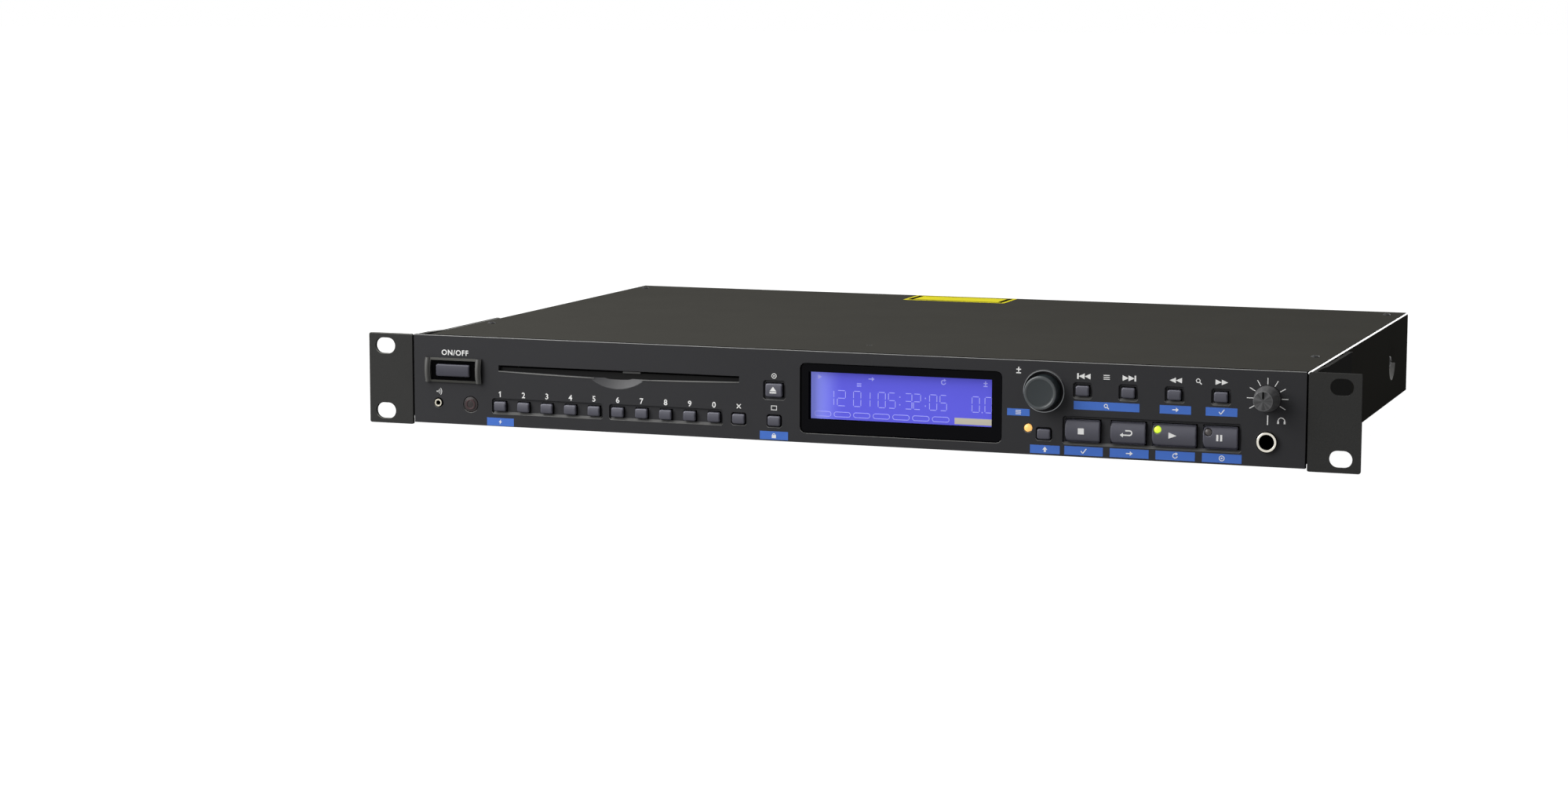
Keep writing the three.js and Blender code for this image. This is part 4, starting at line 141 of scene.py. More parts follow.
@dataclass(frozen=True)
class Finish:
    """A surface finish: a shader with a slight change of tone, and a grain where it has a size."""

    name: str
    colour: str
    roughness: float
    metallic: float = 0.0
    specular: float = 0.5
    coat: float = 0.0
    grain: Grain = Grain.EVEN
    grain_mm: float = 0.0
    bump_mm: float = 0.0
    tone: float = 0.06
    cloud_mm: float = 40.0
    glow: float = 0.0
    axis_mm: Triple = (199.9, 0.0, 31.5)
    rays: float = 9.0

    def material(self) -> bpy.types.Material:
        """Builds the finish's material, or returns the one already made."""
        known = bpy.data.materials.get(self.name)
        if known:
            return known
        made = bpy.data.materials.new(self.name)
        made.use_nodes = True
        shader = made.node_tree.nodes["Principled BSDF"]
        plain = {"Base Color": linear(self.colour), "Roughness": self.roughness,
                 "Metallic": self.metallic, "Specular IOR Level": self.specular,
                 "Coat Weight": self.coat}
        if self.glow:
            plain |= {"Emission Color": linear(self.colour), "Emission Strength": self.glow}
        for name, value in plain.items():
            shader.inputs[name].default_value = value
        self.dress(made.node_tree, shader)
        return made

    def dress(self, tree: bpy.types.NodeTree, shader: bpy.types.Node) -> None:
        """Adds the tone and the grain to a shader.

        Args:
            tree: The material's node tree.
            shader: Its Principled shader.
        """
        if not self.tone:
            return
        place = add_node(tree, "TexCoord").outputs["Object"]
        # A spun face gets spokes of painted reflection instead of the random tone
        if self.grain is Grain.SPUN:
            cloud = self.spokes(tree, place)
        else:
            cloud = add_node(tree, "TexNoise", {"Vector": place, "Scale": 1 / (self.cloud_mm * MM),
                                                "Detail": 3.0})
        dark, light = (tuple(min(1.0, c * share) for c in linear(self.colour)[:3]) + (1.0,)
                       for share in (1 - self.tone, 1 + self.tone))
        tint = add_node(tree, "Mix", {"0": cloud.outputs[0], "6": dark, "7": light},
                        data_type="RGBA")
        tree.links.new(tint.outputs[2], shader.inputs["Base Color"])
        if not self.grain_mm:
            return
        stretch = (1, 0.02, 1) if self.grain is Grain.TURNED else (1, 1, 1)
        lay = add_node(tree, "Mapping", {"Vector": place, "Scale": stretch})
        grit = add_node(tree, "TexNoise", {"Vector": lay.outputs["Vector"],
                                           "Scale": 1 / (self.grain_mm * MM), "Detail": 2.0})
        bump = add_node(tree, "Bump", {"Height": grit.outputs["Fac"], "Strength": 0.6,
                                       "Distance": self.bump_mm * MM})
        tree.links.new(bump.outputs["Normal"], shader.inputs["Normal"])

    def spokes(self, tree: bpy.types.NodeTree, place: bpy.types.NodeSocket) -> bpy.types.Node:
        """Paints the bright and dark spokes that a spun face reflects: a painted reflection.

        Args:
            tree: The material's node tree.
            place: The place on the surface.

        Returns:
            The node that gives the spokes.
        """
        centred = add_node(tree, "Mapping", {"Vector": place,
                                             "Location": tuple(-at * MM for at in self.axis_mm)})
        swung = add_node(tree, "Mapping", {"Vector": centred.outputs["Vector"],
                                           "Rotation": (math.radians(-90), 0, 0)})
        turn = add_node(tree, "TexGradient", {"Vector": swung.outputs["Vector"]},
                        gradient_type="RADIAL")
        around = add_node(tree, "CombineXYZ", {"X": turn.outputs["Fac"]})
        rays = add_node(tree, "TexNoise", {"Vector": around.outputs["Vector"], "Scale": self.rays,
                                           "Detail": 2.0, "Roughness": 0.6})
        return add_node(tree, "MapRange", {"Value": rays.outputs["Fac"], "From Min": 0.38,
                                           "From Max": 0.62})


@dataclass(frozen=True)
class Backlight(Finish):
    """A diffuser sheet lit from one end, so that its light turns paler towards that end."""

    lamp_colour: str = "#8c93f4"
    lamp_mm: float = -15.6
    reach_mm: float = 17.0

    def dress(self, tree: bpy.types.NodeTree, shader: bpy.types.Node) -> None:
        """Adds the paler end to a shader.

        Args:
            tree: The material's node tree.
            shader: Its Principled shader.
        """
        coordinates = add_node(tree, "TexCoord")
        place = add_node(tree, "SeparateXYZ", {"Vector": coordinates.outputs["Object"]})
        share = add_node(tree, "MapRange", {"Value": place.outputs["X"],
                                            "From Min": self.lamp_mm * MM,
                                            "From Max": (self.lamp_mm + self.reach_mm) * MM},
                         interpolation_type="SMOOTHSTEP")
        tint = add_node(tree, "Mix", {"0": share.outputs["Result"], "6": linear(self.lamp_colour),
                                      "7": linear(self.colour)}, data_type="RGBA")
        for name in ("Base Color", "Emission Color"):
            tree.links.new(tint.outputs[2], shader.inputs[name])


# Powder-coated sheet steel: a dry, fine-grained black that goes warm where it lies flat
EAR_PAINT = Finish("powder_coated_steel", "#444443", 0.8, specular=0.0, grain_mm=0.6, bump_mm=0.1)
# Painted highlight: a lighter copy of the ear paint for the ears' upward-facing bevels
EAR_EDGE_HIGHLIGHT = Finish("ear_edge_painted_highlight", "#7a7a74", 0.4, specular=0.4)
COVER_PAINT = Finish("textured_cover_paint", "#484743", 0.8, specular=0.0, grain_mm=0.6,
                     bump_mm=0.04)
# Painted highlight: the cover paint made lighter and shinier on the crest of the rolled edge, which
# the rear lamp also catches
FOLD_HIGHLIGHT_PAINT = Finish("cover_fold_painted_highlight", "#8a8883", 0.32, coat=0.2)
# Painted light: a lighter paint on the lower walls of the cover's side dishes, which face up to the
# lamps
DISH_LIGHT_PAINT = Finish("dish_wall_painted_light", "#6a6966", 0.45, specular=0.06)
# Injection-moulded ABS with a spark-eroded texture: an even soft black
FASCIA_ABS = Finish("moulded_fascia_abs", "#39393b", 0.55, specular=0.1, grain_mm=0.45,
                    bump_mm=0.02)
# Painted highlights: lighter paints for the fascia's top edge, and for its upward bevels and the
# disc slot's lip
FASCIA_EDGE_HIGHLIGHT = Finish("fascia_edge_painted_highlight", "#a2a2a0", 0.35)
RECESS_EDGE_HIGHLIGHT = Finish("recess_edge_painted_highlight", "#747472", 0.4, specular=0.4)
# The finger scoop: a glossier moulding, also painted a little lighter than the fascia as a highlight
SCOOP_HIGHLIGHT_ABS = Finish("polished_scoop_painted_highlight", "#404042", 0.4, specular=0.35)
# Flock that closes the disc slot against dust: a dull black pile
FELT = Finish("flocked_slot_curtain", "#2c2c2c", 0.95, specular=0.0, grain_mm=0.4, bump_mm=0.05)
# Painted shade: the same mouldings made near black where they go down into a gap that no light
# reaches
GAP_PAINTED_SHADE = Finish("shaded_moulding", "#0c0c0d", 0.9, specular=0.0)
# Painted highlight: a lighter paint on the sloped lower sides of the key recesses, also used for the
# strip in the disc slot
SLOPE_HIGHLIGHT_ABS = Finish("recess_slope_painted_highlight", "#60605f", 0.5, specular=0.2)
# Moulded ABS key caps: bluish grey, a little smoother than the fascia
KEY_ABS = Finish("moulded_key_abs", "#585862", 0.42, specular=0.3, grain_mm=0.4, bump_mm=0.008)
# Painted highlight: a lighter copy of the key moulding for the caps' upward-facing bevels
KEY_EDGE_HIGHLIGHT = Finish("key_edge_painted_highlight", "#777782", 0.35, specular=0.4)
POWER_ABS = Finish("moulded_power_key_abs", "#44444e", 0.4, specular=0.25, grain_mm=0.4,
                   bump_mm=0.006)
BLACK_ABS = Finish("moulded_black_abs", "#1c1c1c", 0.3, specular=0.4, grain_mm=0.4, bump_mm=0.006)
# Painted highlights on the black bezel: its edges, then the fronts of its rails and of its bowed
# cheeks
BLACK_EDGE_HIGHLIGHT = Finish("black_edge_painted_highlight", "#3e3e3b", 0.3, specular=0.4)
RAIL_HIGHLIGHT_ABS = Finish("rail_painted_highlight", "#494945", 0.42, specular=0.15)
CHEEK_HIGHLIGHT_ABS = Finish("cheek_painted_highlight", "#626260", 0.38, specular=0.2)
DIAL_ABS = Finish("satin_dial_abs", "#293033", 0.3, specular=0.35, grain_mm=0.4, bump_mm=0.004)
# Painted highlight: a lighter copy of the dial moulding for the rim of the dial's cup
DIAL_EDGE_HIGHLIGHT = Finish("dial_edge_painted_highlight", "#3d4345", 0.3, coat=0.2)
# Zinc-plated sheet: a cool silver with a faint spangle
ZINC = Finish("zinc_plated_sheet", "#b9babb", 0.38, metallic=1.0, grain_mm=2.0, bump_mm=0.01,
              tone=0.12)
STEEL = Finish("bright_turned_steel", "#8f9193", 0.28, metallic=1.0, grain=Grain.TURNED,
               grain_mm=0.3, bump_mm=0.01)
# Nickel plate: warm silver and almost a mirror
NICKEL = Finish("nickel_plate", "#d3cfc4", 0.2, metallic=1.0, grain_mm=0.3, bump_mm=0.002,
                tone=0.03)
# Cream acetal round the remote socket
CREAM = Finish("cream_acetal", "#efe9d6", 0.4, grain_mm=0.4, bump_mm=0.005)
# Dyed aluminium: a grey metal. The spokes of its spun face are a painted reflection, its lighter
# side a painted highlight
KNOB_PAINTED_SPOKES = Finish("spun_aluminium_painted_spokes", "#4b4b4c", 0.4, metallic=0.3, specular=0.3,
                    grain=Grain.SPUN, tone=0.6)
KNOB_SIDE_HIGHLIGHT = Finish("knob_side_painted_highlight", "#6a6a6b", 0.4, metallic=0.3, specular=0.3,
                   grain_mm=0.3, bump_mm=0.006)
# Painted shade: a near-black strip where the pointer groove lies in shade
KNOB_GROOVE_SHADE = Finish("pointer_groove_painted_shade", "#0a0a0a", 0.8, specular=0.0)
BOARD = Finish("solder_resist", "#2f5b3c", 0.4, grain_mm=1.5, bump_mm=0.02, tone=0.15)
SUPPLY = Finish("varnished_supply", "#4b544b", 0.45, grain_mm=1.2, bump_mm=0.03, tone=0.2)
RUBBER = Finish("ground_rubber", "#242424", 0.85, specular=0.2, grain_mm=0.3, bump_mm=0.03)
# Acetal homopolymer: a waxy off-white
ACETAL = Finish("moulded_acetal", "#d9d7cf", 0.45, grain_mm=0.5, bump_mm=0.01)
# Acrylic: smooth and glossy, dark where it is dyed and even where it is lit
SENSOR_RED = Finish("infrared_acrylic", "#3b3535", 0.2, specular=0.2)
SENSOR_RIM = Finish("infrared_acrylic_rim", "#4a3638", 0.2, specular=0.2)
SMOKED = Finish("smoked_acrylic", "#08080c", 0.12, specular=0.04)
SCREEN = Backlight("back_lit_screen", "#5c5bd4", 0.5, specular=0.05, glow=0.5)
AMBER = Finish("lit_amber_epoxy", "#e8b062", 0.3, glow=1.0)
LIME = Finish("lit_lime_epoxy", "#c3e33a", 0.3, glow=1.0)
UMBER = Finish("unlit_epoxy", "#4d4746", 0.3)
# Screen-printed two-part ink: flat, opaque and slightly off white, with a painted glow that lifts it
# past what the lamps give
WHITE_INK_PAINTED_GLOW = Finish("white_screen_ink_painted_glow", "#fbfbf9", 0.6, specular=0.2, tone=0.0, glow=0.1)
BLUE_INK = Finish("blue_screen_ink", "#5382e2", 0.6, specular=0.2, tone=0.02)
SEGMENT = Finish("lit_segments", "#9fa1e6", 0.5, tone=0.0, glow=0.5)
BEIGE = Finish("lit_bar", "#b5b0a0", 0.5, tone=0.0, glow=0.42)
# Vinyl film: a flat, clear yellow
LABEL = Finish("yellow_vinyl_label", "#efe43a", 0.6, specular=0.0, grain_mm=2.0, bump_mm=0.004,
               tone=0.02)
LABEL_INK = Finish("dark_label_ink", "#26241a", 0.7, specular=0.0)
SCREW = Finish("black_oxide_screw", "#232324", 0.45, metallic=0.4, specular=0.3, grain_mm=0.4,
               bump_mm=0.01)

SLOT_FINISHES: dict[str, Finish] = {
    "paint": EAR_PAINT, "cover_paint": COVER_PAINT, "moulding": FASCIA_ABS,
    "key_plastic": KEY_ABS, "black_plastic": BLACK_ABS, "zinc": ZINC, "steel": STEEL,
    "nickel": NICKEL, "knob_metal": KNOB_PAINTED_SPOKES, "board": BOARD, "supply": SUPPLY,
    "rubber": RUBBER, "white_plastic": ACETAL, "sensor": SENSOR_RED, "pane": SMOKED,
    "screen": SCREEN, "amber": AMBER, "lime": LIME, "umber": UMBER,
}


class Bench:
    """The modelling bench: primitives and edit-mode operators on one piece at a time."""

    smooth_angle = math.radians(35)
    bevel_angle = math.radians(50)
    sharp_cosine = math.cos(math.radians(30))
    corner_segments = 5
    weld = 0.000001
    lit_slope = 0.2
    letter_share = 0.69
    letter_weight = 0.025
    letter_space = 1.12

    def __init__(self, front_y: float) -> None:
        """Sets the depth of the rack ears' front face, in metres."""
        self.front_y = front_y

    def at(self, x: float, y: float, z: float) -> Vector:
        """Turns a place in millimetres from the ears' front face into metres in the frame."""
        return Vector((x * MM, self.front_y + y * MM, z * MM))

    def mm(self, place: Vector) -> Vector:
        """Turns a place in metres in the frame into millimetres from the ears' front face."""
        return Vector((place.x / MM, (place.y - self.front_y) / MM, place.z / MM))

    @staticmethod
    def clear() -> None:
        """Leaves nothing selected."""
        if bpy.context.object and bpy.context.object.mode != "OBJECT":
            bpy.ops.object.mode_set(mode="OBJECT")
        bpy.ops.object.select_all(action="DESELECT")

    def take(self, piece: Piece) -> None:
        """Selects one piece and makes it the active one."""
        self.clear()
        piece.select_set(True)
        bpy.context.view_layer.objects.active = piece

    @contextmanager
    def editing(self, piece: Piece, whole: bool = True) -> Iterator[None]:
        """Holds a piece in edit mode, with all of it selected unless whole is false."""
        self.take(piece)
        bpy.ops.object.mode_set(mode="EDIT")
        if whole:
            bpy.ops.mesh.select_all(action="SELECT")
        yield
        bpy.ops.object.mode_set(mode="OBJECT")

    def modify(self, piece: Piece, kind: str, **settings: object) -> None:
        """Adds a modifier with its settings and applies it.

        Args:
            piece: The piece.
            kind: The modifier's type.
            settings: Its attributes.
        """
        self.take(piece)
        made = piece.modifiers.new(kind.lower(), kind)
        for name, value in settings.items():
            setattr(made, name, value)
        bpy.ops.object.modifier_apply(modifier=made.name)

    def soften(self, piece: Piece, width: float, segments: int = 2, angle: float = bevel_angle,
               **settings: object) -> None:
        """Bevels a piece's sharp edges.

        Args:
            piece: The piece.
            width: The bevel's width in millimetres.
            segments: Its segments.
            angle: The angle over which an edge is sharp.
            settings: Further attributes of the bevel.
        """
        self.modify(piece, "BEVEL", width=width * MM, segments=segments, limit_method="ANGLE",
                    angle_limit=angle, **settings)

    def carve(self, piece: Piece, tool: Piece) -> None:
        """Cuts the shape of a second piece out of a piece, and removes the second one."""
        self.modify(piece, "BOOLEAN", object=tool, operation="DIFFERENCE", solver="EXACT")
        bpy.data.objects.remove(tool)

    def smooth(self, piece: Piece) -> None:
        """Shades a piece smooth across its blunt edges, and keeps its flat faces flat."""
        self.take(piece)
        if piece.data.has_custom_normals:
            bpy.ops.mesh.customdata_custom_splitnormals_clear()
        bpy.ops.object.shade_smooth_by_angle(angle=self.smooth_angle)
        self.modify(piece, "WEIGHTED_NORMAL", keep_sharp=True)

    def fix_normals(self, piece: Piece) -> None:
        """Merges doubles and turns all the faces outwards."""
        with self.editing(piece):
            bpy.ops.mesh.remove_doubles(threshold=self.weld)
            bpy.ops.mesh.normals_make_consistent(inside=False)

    def copied(self, node: str) -> Piece:
        """Copies a node's mesh, merges it, clears its flat faces and stands it in for the node.

        Args:
            node: The node's name.

        Returns:
            The copy.
        """
        piece = bpy.data.objects.new(node + "_fine", bpy.data.objects[node].data.copy())
        bpy.context.scene.collection.objects.link(piece)
        with self.editing(piece):
            bpy.ops.mesh.remove_doubles(threshold=2 * self.weld)
            bpy.ops.mesh.dissolve_limited(angle_limit=math.radians(1))
        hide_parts(node)
        return piece

    def refined(self, node: str, bevel: float, segments: int = 2) -> Piece:
        """Copies a node and bevels its sharp edges, which take the second material.

        Args:
            node: The node's name.
            bevel: The width of the bevel, or zero for none.
            segments: The bevel's segments.

        Returns:
            The refined piece.
        """
        piece = self.copied(node)
        if bevel:
            piece.data.materials.append(None)
            self.soften(piece, bevel, segments, self.smooth_angle, material=1)
        self.smooth(piece)
        return piece

    def crown(self, piece: Piece, sag: float, cuts: int = 6, skin: float = 0.45) -> None:
        """Rounds a piece's front from top to bottom, so that its upper and lower edges stand back.

        Args:
            piece: The piece.
            sag: How far the edges stand back.
            cuts: The number of cuts across the front.
            skin: How deep the front goes.
        """
        behind = min(v.co.y for v in piece.data.vertices) + skin * MM
        heights = [v.co.z for v in piece.data.vertices if v.co.y < behind]
        low, high = min(heights), max(heights)
        with self.editing(piece):
            for cut in range(1, cuts + 1):
                bpy.ops.mesh.select_all(action="SELECT")
                height = low + (high - low) * cut / (cuts + 1)
                bpy.ops.mesh.bisect(plane_co=(0, 0, height), plane_no=(0, 0, 1))
        for vertex in piece.data.vertices:
            if vertex.co.y < behind:
                share = (2 * vertex.co.z - low - high) / (high - low)
                vertex.co.y += sag * MM * share * share

    def lit_edges(self, piece: Piece) -> None:
        """Keeps the edges' lighter finish only on the bevels that face upwards, where light falls: a
        painted highlight.
        """
        for face in piece.data.polygons:
            if face.material_index == 1 and face.normal.z < self.lit_slope:
                face.material_index = 0

    @staticmethod
    def made(name: str, points: list[Vector], edges: list[tuple[int, int]],
             faces: list[tuple[int, ...]]) -> Piece:
        """Makes a piece from its corners.

        Args:
            name: The piece's name.
            points: The corners' places in metres.
            edges: The pairs of corners that an edge joins.
            faces: The corners of each face in order.

        Returns:
            The piece.
        """
        mesh = bpy.data.meshes.new(name)
        mesh.from_pydata(points, edges, faces)
        piece = bpy.data.objects.new(name, mesh)
        bpy.context.scene.collection.objects.link(piece)
        return piece

    def block(self, name: str, middle: Triple, size: Triple, turn: float = 0.0) -> Piece:
        """Adds a block.

        Args:
            name: The piece's name.
            middle: The middle's place.
            size: The sizes along X, Y and Z.
            turn: The turn about Y, in degrees.

        Returns:
            The block.
        """
        self.clear()
        bpy.ops.mesh.primitive_cube_add(size=1, location=self.at(*middle))
        piece = bpy.context.object
        piece.name = name
        piece.scale = [side * MM for side in size]
        piece.rotation_euler = (0, math.radians(turn), 0)
        self.take(piece)
        bpy.ops.object.transform_apply(location=True, rotation=True, scale=True)
        return piece

    def plate(self, name: str, area: Quad, depths: Pair, corner: float = 0,
              edge: float = 0) -> Piece:
        """Adds a plate that faces the front, with rounded corners and softened edges.

        Args:
            name: The piece's name.
            area: The middle's place across and its height, then the sizes across and upwards.
            depths: The front and the back depth.
            corner: The radius of the four corners.
            edge: The bevel round the faces.

        Returns:
            The plate.
        """
        (x, z, width, height), (y0, y1) = area, depths
        piece = self.block(name, (x, (y0 + y1) / 2, z), (width, y1 - y0, height))
        if corner:
            self.round_edges(piece, corner, self.corner_segments,
                             lambda run, middle: abs(run.y) > 0.9)
        if edge:
            self.soften(piece, edge)
        self.smooth(piece)
        return piece

    def round_edges(self, piece: Piece, radius: float, segments: int, wanted: Test,
                    material: int = -1) -> None:
        """Bevels the sharp edges that pass a test.

        Args:
            piece: The piece.
            radius: The bevel's width.
            segments: The bevel's segments.
            wanted: A test on an edge's unit direction and its middle in millimetres.
            material: The bevel's material place, or -1 for that of the faces beside it.
        """
        bpy.context.tool_settings.mesh_select_mode = (False, True, False)
        mesh = piece.data
        for row in (mesh.polygons, mesh.vertices):
            row.foreach_set("select", [False] * len(row))
        beside: dict[tuple[int, int], list[Vector]] = {}
        for polygon in mesh.polygons:
            for key in polygon.edge_keys:
                beside.setdefault(key, []).append(polygon.normal)
        for edge in mesh.edges:
            first, last = (mesh.vertices[at].co for at in edge.vertices)
            normals = beside.get(edge.key, [])
            sharp = len(normals) == 2 and normals[0].dot(normals[1]) < self.sharp_cosine
            edge.select = sharp and wanted((last - first).normalized(),
                                           self.mm((first + last) / 2))
        with self.editing(piece, whole=False):
            bpy.ops.mesh.bevel(offset=radius * MM, segments=segments, affect="EDGES",
                               material=material)

    def tint(self, piece: Piece, finish: Finish, wanted: Test) -> None:
        """Gives the faces that pass a test a finish of their own.

        Args:
            piece: The piece.
            finish: The finish.
            wanted: A test on a face's middle in millimetres and its unit normal.
        """
        piece.data.materials.append(finish.material())
        place = len(piece.data.materials) - 1
        for face in piece.data.polygons:
            if wanted(self.mm(face.center), face.normal):
                face.material_index = place

    def turned(self, name: str, profile: Points, x: float, z: float, sides: int = 64) -> Piece:
        """Spins a profile about a line that runs front to back.

        Args:
            name: The piece's name.
            profile: Points of radius and depth, from front to back along the outside.
            x: The axis's place across.
            z: The axis's height.
            sides: The number of steps in a turn.

        Returns:
            The turned piece.
        """
        edges = [(at, at + 1) for at in range(len(profile) - 1)]
        if profile[0][0] > 0:
            edges.append((len(profile) - 1, 0))
        piece = self.made(name, [self.at(x + r, y, z) for r, y in profile], edges, [])
        with self.editing(piece):
            bpy.ops.mesh.spin(steps=sides, angle=2 * math.pi, center=self.at(x, 0, z),
                              axis=(0, 1, 0))
        self.fix_normals(piece)
        self.smooth(piece)
        return piece

    def sheet(self, name: str, outlines: list[Outline], depths: Pair) -> Piece:
        """Fills outlines in X and Z and extrudes them together from one depth to another.

        Args:
            name: The piece's name.
            outlines: The corners of each outline in order.
            depths: The front and the back depth.

        Returns:
            The flat piece.
        """
        y0, y1 = depths
        points, faces = [], []
        for outline in outlines:
            faces.append(tuple(range(len(points), len(points) + len(outline))))
            points += [self.at(x, y0, z) for x, z in outline]
        piece = self.made(name, points, [], faces)
        with self.editing(piece):
            bpy.ops.mesh.remove_doubles(threshold=self.weld)
            bpy.ops.mesh.extrude_region_move(
                TRANSFORM_OT_translate={"value": (0, (y1 - y0) * MM, 0)})
        self.fix_normals(piece)
        return piece

    def lettering(self, name: str, words: str, x: float, z: float, height: float,
                  depths: Pair) -> Piece:
        """Adds figures that face the front, centred on a place.

        Args:
            name: The piece's name.
            words: The figures.
            x: The middle's place across.
            z: The middle's height.
            height: The height of a figure.
            depths: The front and the back depth.

        Returns:
            The figures as a mesh.
        """
        self.clear()
        bpy.ops.object.text_add()
        piece = bpy.context.object
        piece.name = name
        piece.data.body = words
        piece.data.size = height * MM / self.letter_share
        piece.data.resolution_u = 4
        piece.data.extrude = (depths[1] - depths[0]) / 2 * MM
        piece.data.offset = self.letter_weight * height * MM
        piece.data.space_character = self.letter_space
        bpy.ops.object.convert(target="MESH")
        piece = bpy.context.object
        corners = [v.co for v in piece.data.vertices]
        middle = [(min(c[axis] for c in corners) + max(c[axis] for c in corners)) / 2
                  for axis in range(3)]
        piece.data.transform(Matrix.Translation(self.at(x, sum(depths) / 2, z))
                             @ Matrix.Rotation(math.pi / 2, 4, "X")
                             @ Matrix.Translation([-m for m in middle]))
        self.fix_normals(piece)
        return piece

    def join(self, name: str, parts: list[Piece]) -> Piece:
        """Makes one piece of several.

        Args:
            name: The joined piece's name.
            parts: The pieces.

        Returns:
            The joined piece.
        """
        self.clear()
        for part in parts:
            part.select_set(True)
        bpy.context.view_layer.objects.active = parts[0]
        bpy.ops.object.join()
        parts[0].name = name
        parts[0].data.name = name
        return parts[0]

    @staticmethod
    def finished(piece: Piece, finish: Finish, body: str = CASING, slot: str | None = None,
                 edge: Finish | None = None) -> None:
        """Gives a piece its finish and its body.

        Args:
            piece: The piece.
            finish: The finish.
            body: The body that it rides on.
            slot: The record's material slot, if one fits. Not used.
            edge: The finish of its bevelled edges, where it isn't the same.
        """
        places = [face.material_index for face in piece.data.polygons]
        piece.data.materials.clear()
        piece.data.materials.append(finish.material())
        if edge or any(places):
            piece.data.materials.append((edge or finish).material())
            piece.data.polygons.foreach_set("material_index", places)
        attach(piece, body)
        log.info("made %s on %s", piece.name, body)


